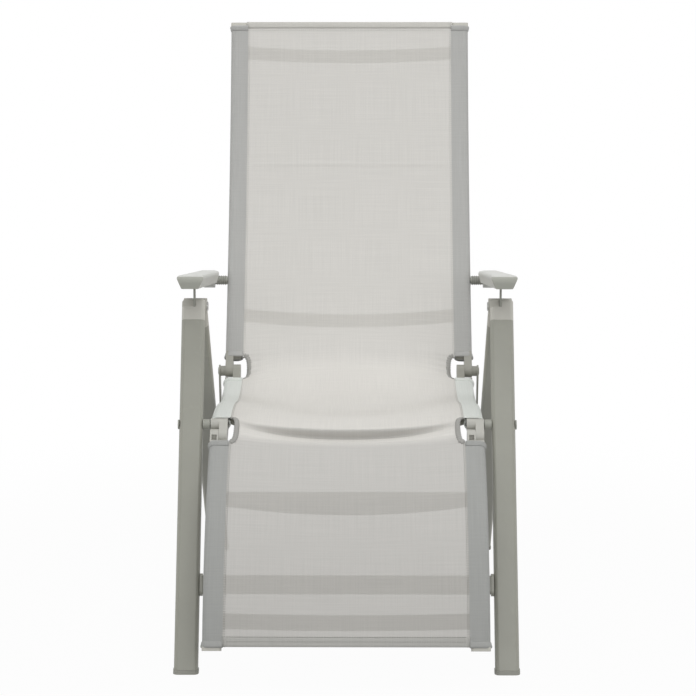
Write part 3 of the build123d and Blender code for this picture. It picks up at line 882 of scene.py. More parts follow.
@dataclass(frozen=True)
class Hem:
    """Folded hem across one end of the sheet.

    Args:
        name: Name of its piece.
        at_start: Whether it is the top of the back.
        height: Its height.
        thread_lines: Distances of its lines of thread from the end.
        spread: Share by which it is wider than the sheet.
        thickness: Its thickness.
        thread_lift: How far the thread stands off it.
    """

    name: str
    at_start: bool
    height: float
    thread_lines: tuple[float, ...]
    spread: float = 0.0
    thickness: float = 0.0017
    thread_lift: float = 0.0002

    def _order(self, sheet: Sheet) -> list[int]:
        """Row indices from this end of the sheet inwards."""
        order = range(len(sheet.rows))
        return list(order if self.at_start else reversed(order))

    def build(self, sheet: Sheet) -> bpy.types.Object:
        """Makes the hem's mesh.

        Args:
            sheet: The sheet.

        Returns:
            The object.
        """
        order = self._order(sheet)
        base = sheet.rows[order[0]].travel
        used = [i for i in order if abs(sheet.rows[i].travel - base) <= self.height]
        half = self.thickness / 2
        sections = []
        for column in range(len(sheet.across)):
            front = [sheet.points[i, column] + sheet.normals[i, column] * half for i in used[::-1]]
            back = [sheet.points[i, column] - sheet.normals[i, column] * half for i in used]
            outward = sheet.points[used[0], column] - sheet.points[used[1], column]
            edge = sheet.points[used[0], column] + outward / np.linalg.norm(outward) * half
            sections.append(front + [edge] + back)
        band = np.array(sections)
        band[:, :, 0] *= 1 + self.spread
        obj = turned_outward(new_object(self.name, *lofted(band)))
        count, size = band.shape[:2]
        spread = np.repeat(np.linspace(-sheet.tube.seam_x, sheet.tube.seam_x, count), size)
        rise = np.tile(np.arange(size) * sheet.row_step, count) + base
        set_vectors(obj, "weave", np.stack((spread, rise), 1))
        return obj

    def threads(self, sheet: Sheet) -> list[np.ndarray]:
        """Lines of thread across the hem.

        Args:
            sheet: The sheet.

        Returns:
            Arrays of points, one for each line.
        """
        order, lines = self._order(sheet), []
        base = sheet.rows[order[0]].travel
        for offset in self.thread_lines:
            index = next(i for i in order if abs(sheet.rows[i].travel - base) >= offset)
            lift = self.thickness / 2 + self.thread_lift
            lines.append((sheet.points[index] + sheet.normals[index] * lift)[1:-1])
        return lines


@dataclass(frozen=True)
class SleeveHem:
    """Rolled hem round the end of a sleeve.

    Args:
        profile: Distance in from the sleeve's end, and how far it stands off the sleeve.
    """

    profile: tuple[Pair, ...] = (
        (-0.0012, 0.0),
        (-0.0022, 0.0011),
        (-0.0014, 0.0025),
        (0.0012, 0.0029),
        (0.0040, 0.0020),
        (0.0072, 0.0014),
        (0.0088, 0.0006),
        (0.0088, 0.0),
    )

    def shell(self, sheet: Sheet, index: int, inward: int, sign: int) -> Shell:
        """Vertices and faces of one hem.

        Args:
            sheet: The sheet.
            index: Row index at the sleeve's end.
            inward: 1 where the sleeve runs on to later rows, else -1.
            sign: 1 for the side at +X, else -1.

        Returns:
            The shell.
        """
        row, sections = sheet.rows[index], []
        for shift, build in self.profile:
            there = replace(row, centre=row.centre + row.direction * shift * inward)
            sections.append(
                [
                    there.placed(sign * x, rise + build * max(0.0, 1 - k / sheet.tube.seam_points))
                    for k, (x, rise) in enumerate(sheet.tube.outline(build))
                ]
            )
        return lofted(np.swapaxes(np.array(sections), 0, 1))


@dataclass(frozen=True)
class Binding:
    """Bound edge of a cut-out, ruffled by its stitches.

    Args:
        width: Its width.
        thickness: Its thickness.
        inset: How far its middle lies in from the edge, as a share of its width.
        step: Length between its sections.
        least_sections: Fewest sections.
        sides: Points round a section.
        pitch: Length of one ruffle.
        ruffle: Share by which the ruffles swell it.
    """

    width: float = 0.0092
    thickness: float = 0.0042
    inset: float = 0.22
    step: float = 0.0009
    least_sections: int = 12
    sides: int = 10
    pitch: float = 0.0046
    ruffle: float = 0.20

    def shell(self, sheet: Sheet, indices: list[int], column: int) -> Shell:
        """Vertices and faces of one bound edge.

        Args:
            sheet: The sheet.
            indices: Row indices, the rows at both ends included.
            column: 0 or -1, the sheet's outer column.

        Returns:
            The shell.
        """
        inward = np.array((1.0 if column == 0 else -1.0, 0, 0))
        line = sheet.points[indices, column] + inward * self.width * self.inset
        lengths = np.concatenate(([0.0], np.cumsum(np.linalg.norm(np.diff(line, axis=0), axis=1))))
        fine = np.linspace(0, lengths[-1], max(self.least_sections, int(lengths[-1] / self.step)))
        line, normals = (
            np.stack([np.interp(fine, lengths, values[:, k]) for k in range(3)], 1)
            for values in (line, sheet.normals[indices, column])
        )
        tangents = np.gradient(line, axis=0)
        tangents /= np.linalg.norm(tangents, axis=1)[:, None]
        normals -= (normals * tangents).sum(1)[:, None] * tangents
        normals /= np.linalg.norm(normals, axis=1)[:, None]
        swell = 1 + self.ruffle * np.sin(2 * math.pi * fine / self.pitch)
        wide = np.cross(tangents, normals) * (self.width / 2 * swell)[:, None]
        high = normals * (self.thickness / 2 * swell)[:, None]
        turns = np.linspace(0, 2 * math.pi, self.sides, endpoint=False)[None, :, None]
        return lofted(line[:, None] + wide[:, None] * np.cos(turns) + high[:, None] * np.sin(turns))


@dataclass(frozen=True)
class SeamThread:
    """Lines of thread along the sleeves' seams.

    Args:
        offsets: Distances in from the seam.
        lift: How far the thread stands off the sheet.
    """

    offsets: Pair = (0.0010, 0.0034)
    lift: float = 0.0003

    def lines(self, sheet: Sheet, indices: list[int]) -> list[np.ndarray]:
        """The lines over some rows.

        Args:
            sheet: The sheet.
            indices: Row indices over side tubes.

        Returns:
            Arrays of points, one for each line.
        """
        found = []
        for column, inward in ((0, 1), (-1, -1)):
            for offset in self.offsets:
                shift = np.array((inward * offset, 0, 0))
                found.append(sheet.points[indices, column] + shift + sheet.normals[indices, column] * self.lift)
        return found


# Node trees


class Tree:
    """A node tree with short ways to add to it."""

    def __init__(self, own: bpy.types.NodeTree) -> None:
        """Starts from a node tree."""
        self.own, self.identifiers = own, {}

    def feed(self, target: Socket, value: Feed) -> None:
        """Gives an input its value.

        Args:
            target: The input.
            value: A socket to link, or a plain value.
        """
        if isinstance(value, Socket):
            self.own.links.new(value, target)
        else:
            target.default_value = value

    def add(self, kind: str, inputs: dict[str | int, Feed], **settings: object) -> bpy.types.Node:
        """Adds a node.

        Args:
            kind: The node's type.
            inputs: Sockets or plain values by the input's name or number.
            settings: The node's own settings.

        Returns:
            The node.
        """
        node = self.own.nodes.new(kind)
        for key, setting in settings.items():
            setattr(node, key, setting)
        for key, value in inputs.items():
            self.feed(node.inputs[key], value)
        return node

    def take(self, inputs: dict[str, str | float]) -> bpy.types.NodeOutputs:
        """Gives a group its inputs and keeps their identifiers.

        Args:
            inputs: A number's default, or another input's socket type, by name.

        Returns:
            Their sockets inside the group.
        """
        for name, value in inputs.items():
            kind = value if isinstance(value, str) else "NodeSocketFloat"
            socket = self.own.interface.new_socket(name=name, in_out="INPUT", socket_type=kind)
            if kind != value:
                socket.default_value = value
            self.identifiers[name] = socket.identifier
        return self.own.nodes.new("NodeGroupInput").outputs

    def give(self, results: dict[str, Socket], kind: str = "NodeSocketFloat") -> bpy.types.NodeTree:
        """Gives a group its outputs.

        Args:
            results: Sockets by the output's name.
            kind: Their socket type.

        Returns:
            The finished group.
        """
        for name in results:
            self.own.interface.new_socket(name=name, in_out="OUTPUT", socket_type=kind)
        self.add("NodeGroupOutput", results)
        return self.own

    def math(self, operation: str, *values: Feed) -> Socket:
        """Result of a Math node."""
        return self.add("ShaderNodeMath", dict(enumerate(values)), operation=operation).outputs[0]

    def noise(self, place: Feed, scale: Feed, detail: float = 3.0, roughness: float = 0.55) -> Socket:
        """Value of a noise texture."""
        inputs = {"Vector": place, "Scale": scale, "Detail": detail, "Roughness": roughness}
        return self.add("ShaderNodeTexNoise", inputs).outputs["Fac"]

    def bump(self, height: Feed, strength: float, reach: float) -> Socket:
        """Normal bumped by a height."""
        inputs = {"Height": height, "Strength": strength, "Distance": reach}
        return self.add("ShaderNodeBump", inputs).outputs["Normal"]

    def blend(self, factor: Feed, low: Feed, high: Feed, span: Pair) -> Socket:
        """Two colours mixed by a value that is first spread from a span to 0 to 1.

        Args:
            factor: The value's socket.
            low: Linear colour, or a socket, at the low end.
            high: The same at the high end.
            span: The values that give the two colours.

        Returns:
            The mixed colour's socket.
        """
        spread = self.add("ShaderNodeMapRange", {"Value": factor, "From Min": span[0], "From Max": span[1]})
        mix = self.add("ShaderNodeMix", {"Factor": spread.outputs["Result"]}, data_type="RGBA")
        for socket, colour in zip((s for s in mix.inputs if s.type == "RGBA"), (low, high)):
            self.feed(socket, (*colour, 1.0) if isinstance(colour, tuple) else colour)
        return next(s for s in mix.outputs if s.type == "RGBA")

    def mix(self, share: Feed, first: bpy.types.Node, second: bpy.types.Node) -> Socket:
        """Mix of two shaders, by the share of the second."""
        return self.add("ShaderNodeMixShader", {"Fac": share, 1: first.outputs[0], 2: second.outputs[0]}).outputs[0]

    def seen(self) -> Socket:
        """Socket that is 1 for camera, glossy and transmission rays.

        Returns:
            The socket.
        """
        rays = self.add("ShaderNodeLightPath", {}).outputs
        total = self.math("ADD", rays["Is Camera Ray"], rays["Is Glossy Ray"])
        return self.math("MINIMUM", self.math("ADD", total, rays["Is Transmission Ray"]), 1.0)


# Repeats made with geometry nodes


@dataclass
class Repeat:
    """A small thing set out along lines, one at each pitch, by a geometry node group."""

    pitch: float

    def __post_init__(self) -> None:
        """Builds the node group."""
        self.tree = tree = Tree(bpy.data.node_groups.new(type(self).__name__, "GeometryNodeTree"))
        geometry = "NodeSocketGeometry"
        given = tree.take({"Geometry": geometry, "Material": "NodeSocketMaterial"} | self.sizes())
        curve = tree.add("GeometryNodeMeshToCurve", {"Mesh": given["Geometry"]}).outputs["Curve"]
        spaced = {"Curve": curve, "Length": given["Pitch"]}
        points = tree.add("GeometryNodeCurveToPoints", spaced, mode="LENGTH")
        places = {name: points.outputs[name] for name in ("Points", "Rotation")}
        copies = tree.add("GeometryNodeInstanceOnPoints", places | self.thing(given))
        real = tree.add("GeometryNodeRealizeInstances", {"Geometry": copies.outputs["Instances"]})
        painted = {"Geometry": real.outputs["Geometry"], "Material": given["Material"]}
        paint = tree.add("GeometryNodeSetMaterial", painted)
        tree.give({"Geometry": paint.outputs["Geometry"]}, geometry)

    def sizes(self) -> dict[str, float]:
        """Sizes that the group takes, by the name of its input."""
        return {"Pitch": self.pitch}

    def thing(self, given: bpy.types.NodeOutputs) -> dict[str, Socket]:
        """Sockets for the instances, from the group's inputs."""
        raise NotImplementedError

    def along(self, name: str, lines: list[np.ndarray], material: bpy.types.Material) -> bpy.types.Object:
        """Sets the thing out along lines.

        Args:
            name: Name of the new object.
            lines: Arrays of points, one for each line.
            material: Its material.

        Returns:
            The finished mesh object, with no modifier left on it.
        """
        mesh, vertices, edges = bpy.data.meshes.new(name), [], []
        for line in lines:
            start = len(vertices)
            vertices.extend(tuple(map(float, p)) for p in line)
            edges.extend((start + i, start + i + 1) for i in range(len(line) - 1))
        mesh.from_pydata(vertices, edges, [])
        source = bpy.data.objects.new(f"{name}_lines", mesh)
        bpy.context.scene.collection.objects.link(source)
        modifier = source.modifiers.new("Repeat", "NODES")
        modifier.node_group = self.tree.own
        for key, value in (self.sizes() | {"Material": material}).items():
            modifier[self.tree.identifiers[key]] = value
        evaluated = source.evaluated_get(bpy.context.evaluated_depsgraph_get())
        obj = bpy.data.objects.new(name, bpy.data.meshes.new_from_object(evaluated))
        bpy.data.objects.remove(source)
        bpy.context.scene.collection.objects.link(obj)
        return obj


@dataclass
class Stitches(Repeat):
    """Short rounded threads, each a stretched ball."""

    pitch: float = 0.0042
    length: float = 0.0030
    radius: float = 0.00042
    segments: int = 8
    rings: int = 6

    def sizes(self) -> dict[str, float]:
        """Sizes that the group takes, by the name of its input."""
        return super().sizes() | {"Length": self.length, "Thread Radius": self.radius}

    def thing(self, given: bpy.types.NodeOutputs) -> dict[str, Socket]:
        """Adds the nodes of one stitch.

        Args:
            given: The group's inputs.

        Returns:
            Sockets for the instances, by the input's name.
        """
        round_ball = {"Segments": self.segments, "Rings": self.rings, "Radius": 1.0}
        ball = self.tree.add("GeometryNodeMeshUVSphere", round_ball)
        smooth = self.tree.add("GeometryNodeSetShadeSmooth", {"Geometry": ball.outputs["Mesh"]})
        half, radius = self.tree.math("MULTIPLY", given["Length"], 0.5), given["Thread Radius"]
        size = self.tree.add("ShaderNodeCombineXYZ", {"X": radius, "Y": radius, "Z": half})
        return {"Instance": smooth.outputs["Geometry"], "Scale": size.outputs["Vector"]}


@dataclass
class Rings(Repeat):
    """Thin rings square to the line, as ribs on a spindle."""

    radius: float = 0.0086
    rib_radius: float = 0.0009
    ring_points: int = 40
    rib_points: int = 8

    def sizes(self) -> dict[str, float]:
        """Sizes that the group takes, by the name of its input."""
        return super().sizes() | {"Radius": self.radius, "Rib Radius": self.rib_radius}

    def thing(self, given: bpy.types.NodeOutputs) -> dict[str, Socket]:
        """Adds the nodes of one ring.

        Args:
            given: The group's inputs.

        Returns:
            Sockets for the instances, by the input's name.
        """
        ring, rib = (
            self.tree.add("GeometryNodeCurvePrimitiveCircle", {"Resolution": count, "Radius": given[name]})
            for count, name in ((self.ring_points, "Radius"), (self.rib_points, "Rib Radius"))
        )
        lines = {"Curve": ring.outputs["Curve"], "Profile Curve": rib.outputs["Curve"]}
        return {"Instance": self.tree.add("GeometryNodeCurveToMesh", lines).outputs["Mesh"]}


# Effects that several finishes share


def grain_group(rub_fineness: float = 5.3) -> bpy.types.NodeTree:
    """Fine grain of a sprayed or moulded surface, with a slow unevenness under it.

    Args:
        rub_fineness: How much finer the rubbed places are than the unevenness.

    Returns:
        The group, with outputs Height, Shade and Rub.
    """
    tree = Tree(bpy.data.node_groups.new("Surface_Grain", "ShaderNodeTree"))
    given = tree.take({"Vector": "NodeSocketVector", "Grain Scale": 900.0, "Patch Scale": 9.0})
    place, patches = given["Vector"], given["Patch Scale"]
    return tree.give(
        {
            "Height": tree.noise(place, given["Grain Scale"], detail=2.0, roughness=0.5),
            "Shade": tree.noise(place, patches, detail=4.0, roughness=0.62),
            "Rub": tree.noise(place, tree.math("MULTIPLY", patches, rub_fineness)),
        }
    )


def weave_group(
    crossing: float = 0.35, stretches: tuple[Triple, Triple] = ((650.0, 9.0, 0.0), (9.0, 520.0, 0.0))
) -> bpy.types.NodeTree:
    """Plain weave of coated yarn, with slubs that run along and across the sheet.

    Args:
        crossing: How much the yarns' crossings add to the height.
        stretches: Scale of the slubs across and along, for each way that they run.

    Returns:
        The group, with outputs Height, Yarn and Slub.
    """
    tree = Tree(bpy.data.node_groups.new("Sheet_Weave", "ShaderNodeTree"))
    given = tree.take({"Vector": "NodeSocketVector", "Yarn Pitch": 0.0016, "Slub Scale": 1.0})
    split = tree.add("ShaderNodeSeparateXYZ", {0: given["Vector"]}).outputs
    turn = tree.math("DIVIDE", 2 * math.pi, given["Yarn Pitch"])
    warp, weft = (tree.math("SINE", tree.math("MULTIPLY", split[axis], turn)) for axis in ("X", "Y"))
    crossed = tree.math("MULTIPLY", tree.math("MULTIPLY", warp, weft), crossing)
    ridge = tree.math("MAXIMUM", tree.math("ABSOLUTE", warp), tree.math("ABSOLUTE", weft))
    slubs = []
    for stretch in stretches:
        scaled = tree.add("ShaderNodeVectorMath", {0: given["Vector"], 1: stretch}, operation="MULTIPLY")
        slubs.append(tree.noise(scaled.outputs[0], given["Slub Scale"], detail=2.0, roughness=0.5))
    slub = tree.math("MULTIPLY", tree.math("ADD", *slubs), 0.5)
    return tree.give({"Height": tree.math("ADD", crossed, ridge), "Yarn": ridge, "Slub": slub})


GRAIN = grain_group()
WEAVE = weave_group()


# Finishes


@dataclass(frozen=True)
class Finish:
    """What every finish has: its material's name and a linear colour."""

    name: str
    colour: Triple

    def shaded(self, amount: float) -> Triple:
        """The colour made lighter or darker by a factor."""
        return tuple(min(1.0, c * amount) for c in self.colour)

    def surface(self, tree: Tree) -> dict[str, Feed]:
        """Values and sockets for the shader, by the input's name."""
        raise NotImplementedError

    def made(self) -> bpy.types.Material:
        """Builds the material.

        Returns:
            The material.
        """
        material = bpy.data.materials.new(self.name)
        material.use_nodes = True
        tree, shader = Tree(material.node_tree), material.node_tree.nodes["Principled BSDF"]
        for name, value in self.surface(tree).items():
            tree.feed(shader.inputs[name], value)
        return material


@dataclass(frozen=True)
class Grained(Finish):
    """Sprayed metal or moulded plastic with a fine grain.

    Args:
        name: The material's name.
        colour: Linear base colour.
        roughness: Middle roughness.
        metallic: How metallic it is.
        grain_scale: Grains per metre, roughly.
        grain_depth: Strength of the grain's bump.
        variation: Share by which the colour drifts.
        drift_span: Values of the unevenness over which it drifts.
        rub_gain: How much more the rubbed places are lightened.
        rub_span: Values of the rub over which they lighten.
        roughness_drift: How far the roughness drifts.
        bump_reach: Height of the grain in metres.
    """

    roughness: float
    metallic: float = 0.0
    grain_scale: float = 1400.0
    grain_depth: float = 0.14
    variation: float = 0.03
    drift_span: Pair = (0.3, 0.7)
    rub_gain: float = 2.2
    rub_span: Pair = (0.62, 0.80)
    roughness_drift: float = 0.16
    bump_reach: float = 0.0004

    def surface(self, tree: Tree) -> dict[str, Feed]:
        """Adds the grain, the drift of colour and roughness, and the bump.

        Args:
            tree: The material's node tree.

        Returns:
            Values and sockets for the shader, by the input's name.
        """
        place = tree.add("ShaderNodeTexCoord", {}).outputs["Object"]
        inputs = {"Vector": place, "Grain Scale": self.grain_scale}
        grain = tree.add("ShaderNodeGroup", inputs, node_tree=GRAIN).outputs
        low, high = self.shaded(1 - self.variation), self.shaded(1 + self.variation)
        base = tree.blend(grain["Shade"], low, high, self.drift_span)
        rubbed = self.shaded(1 + self.rub_gain * self.variation)
        drift = tree.math("MULTIPLY", grain["Rub"], self.roughness_drift)
        return {
            "Base Color": tree.blend(grain["Rub"], base, rubbed, self.rub_span),
            "Roughness": tree.math("ADD", drift, self.roughness - self.roughness_drift / 2),
            "Metallic": self.metallic,
            "Normal": tree.bump(grain["Height"], self.grain_depth, self.bump_reach),
        }


@dataclass(frozen=True)
class Woven(Finish):
    """Coated mesh cloth, read from the weave coordinates.

    Args:
        name: The material's name.
        colour: Linear colour of the yarn.
        draped: Whether tone, with its painted light and shade, and opacity follow the sheet's drape attribute.
        roughness: Roughness of the coated yarn.
        specular: Strength of its shine.
        slub: Share by which slubs change the colour.
        slub_span: Values of the slubs over which they change it.
        gap_shade: Factor on the colour between the yarns.
        gap_span: Heights of the yarn over which it changes.
        depth: Strength of the weave's bump.
        bump_reach: Height of the weave in metres.
    """

    draped: bool = False
    roughness: float = 0.62
    specular: float = 0.30
    slub: float = 0.05
    slub_span: Pair = (0.36, 0.64)
    gap_shade: float = 0.90
    gap_span: Pair = (0.25, 0.80)
    depth: float = 0.35
    bump_reach: float = 0.0003

    def surface(self, tree: Tree) -> dict[str, Feed]:
        """Adds the weave, its slubs, the drape's painted light and shade and its opacity, and the bump.

        Args:
            tree: The material's node tree.

        Returns:
            Values and sockets for the shader, by the input's name.
        """
        place = tree.add("ShaderNodeAttribute", {}, attribute_name="weave").outputs["Vector"]
        weave = tree.add("ShaderNodeGroup", {}, node_tree=WEAVE)
        tree.feed(weave.inputs["Vector"], place)
        low, high = self.shaded(1 - self.slub), self.shaded(1 + self.slub)
        slubbed = tree.blend(weave.outputs["Slub"], low, high, self.slub_span)
        colour = tree.blend(weave.outputs["Yarn"], self.shaded(self.gap_shade), slubbed, self.gap_span)
        found = {
            "Base Color": colour,
            "Roughness": self.roughness,
            "Specular IOR Level": self.specular,
            "Normal": tree.bump(weave.outputs["Height"], self.depth, self.bump_reach),
        }
        if self.draped:
            drape = tree.add("ShaderNodeAttribute", {}, attribute_name="drape").outputs["Vector"]
            parts = tree.add("ShaderNodeSeparateXYZ", {0: drape}).outputs
            # Painted light and shade: the drape's tone scales the cloth's colour.
            toned = tree.add("ShaderNodeVectorMath", {0: colour, "Scale": parts["X"]}, operation="SCALE")
            found |= {"Base Color": toned.outputs[0], "Alpha": parts["Y"]}
        return found


FRAME_COAT = Grained("Frame_Coat", (0.325, 0.325, 0.280), 0.40, grain_scale=1100.0, grain_depth=0.12, variation=0.035)
PALE_PLASTIC = Grained("Pale_Moulding", (0.58, 0.585, 0.555), 0.46)
KNUCKLE_PLASTIC = Grained("Knuckle_Moulding", (0.46, 0.455, 0.415), 0.44)
CAP_PLASTIC = Grained("Cap_Moulding", (0.53, 0.52, 0.47), 0.44)
BARREL_PLASTIC = Grained("Barrel_Moulding", (0.33, 0.325, 0.285), 0.42)
GREY_PLASTIC = Grained("Grey_Moulding", (0.325, 0.33, 0.29), 0.48, grain_depth=0.16, variation=0.04)
RIB_PLASTIC = Grained("Rib_Moulding", (0.22, 0.22, 0.20), 0.55, grain_depth=0.16, variation=0.04)
FOOT_PLASTIC = Grained("Foot_Moulding", (0.29, 0.29, 0.255), 0.55, grain_depth=0.18, variation=0.05)
STEEL = Grained("Zinc_Steel", (0.55, 0.55, 0.54), 0.32, 0.9, 700.0, 0.08, 0.05)
CLOTH = Woven("Sheet_Cloth", (0.635, 0.619, 0.584), draped=True)
SLEEVE_CLOTH = Woven("Sleeve_Cloth", (0.45, 0.45, 0.435), slub=0.06)
# Sleeve cloth made paler on the seat: painted light, as if lit from above.
PAINTED_LIGHT_SLEEVE_CLOTH = Woven("Pale_Sleeve_Cloth", (0.73, 0.755, 0.72), slub=0.06)
# Sleeve cloth made darker on the footrest: painted shade for its dimmer light.
SHADED_FOOT_SLEEVE_CLOTH = Woven("Foot_Sleeve_Cloth", (0.37, 0.375, 0.362), slub=0.06)
TOP_HEM_CLOTH = Woven("Top_Hem_Cloth", (0.575, 0.565, 0.525))
# Hem cloth made darker at the footrest's end than at the top of the back: painted shade.
SHADED_FOOT_HEM_CLOTH = Woven("Foot_Hem_Cloth", (0.455, 0.45, 0.425))
BINDING_CLOTH = Woven("Binding_Cloth", (0.38, 0.375, 0.355))
THREAD = Woven("Thread", (0.30, 0.295, 0.27), slub=0.02, depth=0.1)
PALE_THREAD = Woven("Pale_Thread", (0.52, 0.515, 0.49), slub=0.02, depth=0.1)

# Solid pieces of each finish, by the start of their names. The frame's coat is on all others.
NODE_FINISHES = {
    PALE_PLASTIC: ("armrest",),
    GREY_PLASTIC: ("armrest_front_cap", "armrest_tongue", "armrest_rack", "arm_stub", "seat_pivot_bolts"),
    CAP_PLASTIC: ("leg_cap", "rear_leg_head", "back_cap", "footrest_caps"),
    FOOT_PLASTIC: ("front_feet", "rear_feet"),
    KNUCKLE_PLASTIC: ("seat_front_knuckle", "footrest_knuckle"),
    BARREL_PLASTIC: ("seat_rear_knuckle", "back_knuckle", "rear_axle"),
    STEEL: ("armrest_screws", "leg_hinge_pins", "front_hinge_pins"),
}


# Sub-assemblies


def report(obj: bpy.types.Object) -> None:
    """Logs a finished piece."""
    log.info("%s: %d faces", obj.name, len(obj.data.polygons))


@dataclass(frozen=True)
class Bend:
    """Where a piece of the sheet crosses a joint.

    Args:
        before: Body before the bend; not used.
        after: Body past the bend; not used.
        start: First point of the bend in the row frame; not used.
        end: Its last point; not used.
    """

    before: str
    after: str
    start: Triple
    end: Triple

    def apply(self, obj: bpy.types.Object) -> None:
        """Bakes the mesh's place into its vertices."""
        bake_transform(obj)


@dataclass(frozen=True)
class Outfit:
    """What a piece of the sheet is sewn from, beside its own cloth.

    Args:
        sleeve: Finish of its sleeves.
        thread: Finish of its stitches.
        hem: The hem across its end, or None.
        hem_cloth: That hem's finish.
    """

    sleeve: Woven
    thread: Woven
    hem: Hem | None = None
    hem_cloth: Woven | None = None

    @property
    def finishes(self) -> set[Woven]:
        """All its finishes."""
        return {f for f in (self.sleeve, self.thread, self.hem_cloth) if f}


TOP_HEM = Hem("top_hem", at_start=True, height=0.015, thread_lines=(0.0125,), spread=0.014)
FOOT_HEM = Hem("foot_hem", at_start=False, height=0.018, thread_lines=(0.005, 0.0155))
OUTFITS = {
    Region.BACK: Outfit(SLEEVE_CLOTH, PALE_THREAD, TOP_HEM, TOP_HEM_CLOTH),
    Region.SEAT: Outfit(PAINTED_LIGHT_SLEEVE_CLOTH, PALE_THREAD),
    Region.FOOTREST: Outfit(SHADED_FOOT_SLEEVE_CLOTH, THREAD, FOOT_HEM, SHADED_FOOT_HEM_CLOTH),
}


@dataclass
class StretchedCloth:
    """The sheet's three pieces with their hems, bindings and stitches.

    Args:
        materials: Materials by finish.
        sheet: The worked-out sheet.
        stitches: The stitch repeat.
        sleeve_hem: Hem round the ends of its sleeves.
        binding: Bound edge of its cut-outs.
        seam_thread: Thread along its seams.
    """

    materials: dict[Finish, bpy.types.Material]
    sheet: Sheet = field(default_factory=Sheet)
    stitches: Stitches = field(default_factory=Stitches)
    sleeve_hem: SleeveHem = SleeveHem()
    binding: Binding = Binding()
    seam_thread: SeamThread = SeamThread()

    def build(self) -> None:
        """Builds every piece of the sheet."""
        back, seat, foot = (self.sheet.span(r) for r in (Region.BACK, Region.SEAT, Region.FOOTREST))
        rear_back, rear_seat = self.sheet.halves(Region.REAR_BRIDGE)
        front = self.sheet.span(Region.FRONT_BRIDGE)
        first_covered = next(i for i in back if self.sheet.rows[i].centre is not None)
        middle = self._point(rear_seat[0])
        bend = Bend("rear_pivots", "back", middle, self._point(back[-1]))
        self._piece(Region.BACK, back + rear_back, back[-1:] + rear_back, (first_covered, back[-1]), bend)
        bend = Bend("seat", "rear_pivots", self._point(seat[0]), middle)
        self._piece(Region.SEAT, rear_seat + seat, rear_seat + seat[:1], (seat[0], seat[-1]), bend)
        bend = Bend("seat", "footrest", self._point(seat[-1]), self._point(foot[0]))
        bridge = seat[-1:] + front
        self._piece(Region.FOOTREST, bridge + foot, bridge + foot[:1], (foot[0], foot[-1]), bend)

    def _point(self, index: int) -> Triple:
        """Middle point of a row's seam line in the row frame."""
        return (0.0, *map(float, self.sheet.rows[index].edge))

    def _piece(self, region: Region, rows: list[int], cut: list[int], ends: tuple[int, int], bend: Bend) -> None:
        """Builds one piece of the sheet and what is sewn on it.

        Args:
            region: Back, seat or footrest.
            rows: Rows of the piece.
            cut: Rows along its cut-outs.
            ends: Rows at the upper and the lower end of its sleeves.
            bend: The joint that it crosses.
        """
        name, outfit, sheet = region.name.lower(), OUTFITS[region], self.sheet
        cloth = sheet.build(f"{name}_sheet", rows)
        self._dress(cloth, CLOTH, outfit.sleeve)
        bands = [
            self.sleeve_hem.shell(sheet, row, inward, sign) for row, inward in zip(ends, (1, -1)) for sign in (1, -1)
        ]
        edges = [self.binding.shell(sheet, cut, column) for column in (0, -1)]
        pieces = [
            self._sewn(f"{name}_sleeve_hems", bands, outfit.sleeve),
            self._sewn(f"{name}_cut_bindings", edges, BINDING_CLOTH),
        ]
        lines = self.seam_thread.lines(sheet, sheet.span(region))
        if outfit.hem:
            hem = outfit.hem.build(sheet)
            self._dress(hem, outfit.hem_cloth)
            lines += outfit.hem.threads(sheet)
            pieces.append(hem)
        pieces.append(self.stitches.along(f"{name}_stitches", lines, self.materials[outfit.thread]))
        for obj in [cloth, *pieces]:
            bend.apply(obj)
            report(obj)
        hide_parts(f"{name}_fabric")

    def _sewn(self, name: str, shells: list[Shell], finish: Woven) -> bpy.types.Object:
        """One object from several sewn shells.

        Args:
            name: Object name.
            shells: The shells.
            finish: Its finish.

        Returns:
            The object.
        """
        obj = turned_outward(new_object(name, *joined(shells)))
        points = np.array([v.co for v in obj.data.vertices])
        set_vectors(obj, "weave", np.stack((points[:, 0], points[:, 1] + points[:, 2]), 1))
        self._dress(obj, finish)
        return obj

    def _dress(self, obj: bpy.types.Object, *finishes: Woven) -> None:
        """Gives an object its materials, one for each slot."""
        for finish in finishes:
            obj.data.materials.append(self.materials[finish])


@dataclass
class Hardware:
    """Small ribs on the moving parts, and the finishes of every solid piece.

    Args:
        materials: Materials by finish.
        stub_start: Where the ribs on the armrests' stubs start across the chair.
        stub_end: Where they end.
        stub_ribs: How many ribs a stub has.
    """

    materials: dict[Finish, bpy.types.Material]
    stub_start: float = 0.2490
    stub_end: float = 0.2655
    stub_ribs: int = 4

    def dress(self) -> None:
        """Gives every solid piece of the frame its material."""
        finish_of = {start: finish for finish, starts in NODE_FINISHES.items() for start in starts}
        for name, obj in frame["nodes"].items():
            found = max((s for s in finish_of if name.startswith(s)), key=len, default=None)
            finish = finish_of.get(found, FRAME_COAT)
            obj.data.materials.clear()
            obj.data.materials.append(self.materials[finish])
            log.info("%s: %s", name, finish.name)

    def build(self) -> None:
        """Adds the dark ribs round the armrests' stubs."""
        place = joint_place("armrest_left_lift")
        lines = [np.array([(s * self.stub_start, *place), (s * self.stub_end, *place)]) for s in (1, -1)]
        rings = Rings((self.stub_end - self.stub_start) / self.stub_ribs)
        ribs = rings.along("stub_ribs", lines, self.materials[RIB_PLASTIC])
        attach(ribs, "arm_stubs")
        report(ribs)


@dataclass(frozen=True)
class Lamp:
    """Square area lamp.

    Args:
        name: Its name.
        place: Its place in the row frame.
        turn: Its Euler angles in degrees.
        size: Its side in metres.
        power: Its power in watts.
    """

    name: str
    place: Triple
    turn: Triple
    size: float
    power: float

    def build(self) -> None:
        """Adds the lamp."""
        data = bpy.data.lights.new(self.name, "AREA")
        data.energy = self.power
        data.size = self.size
        lamp = bpy.data.objects.new(self.name, data)
        lamp.location = self.place
        lamp.rotation_euler = [math.radians(a) for a in self.turn]
        bpy.context.scene.collection.objects.link(lamp)


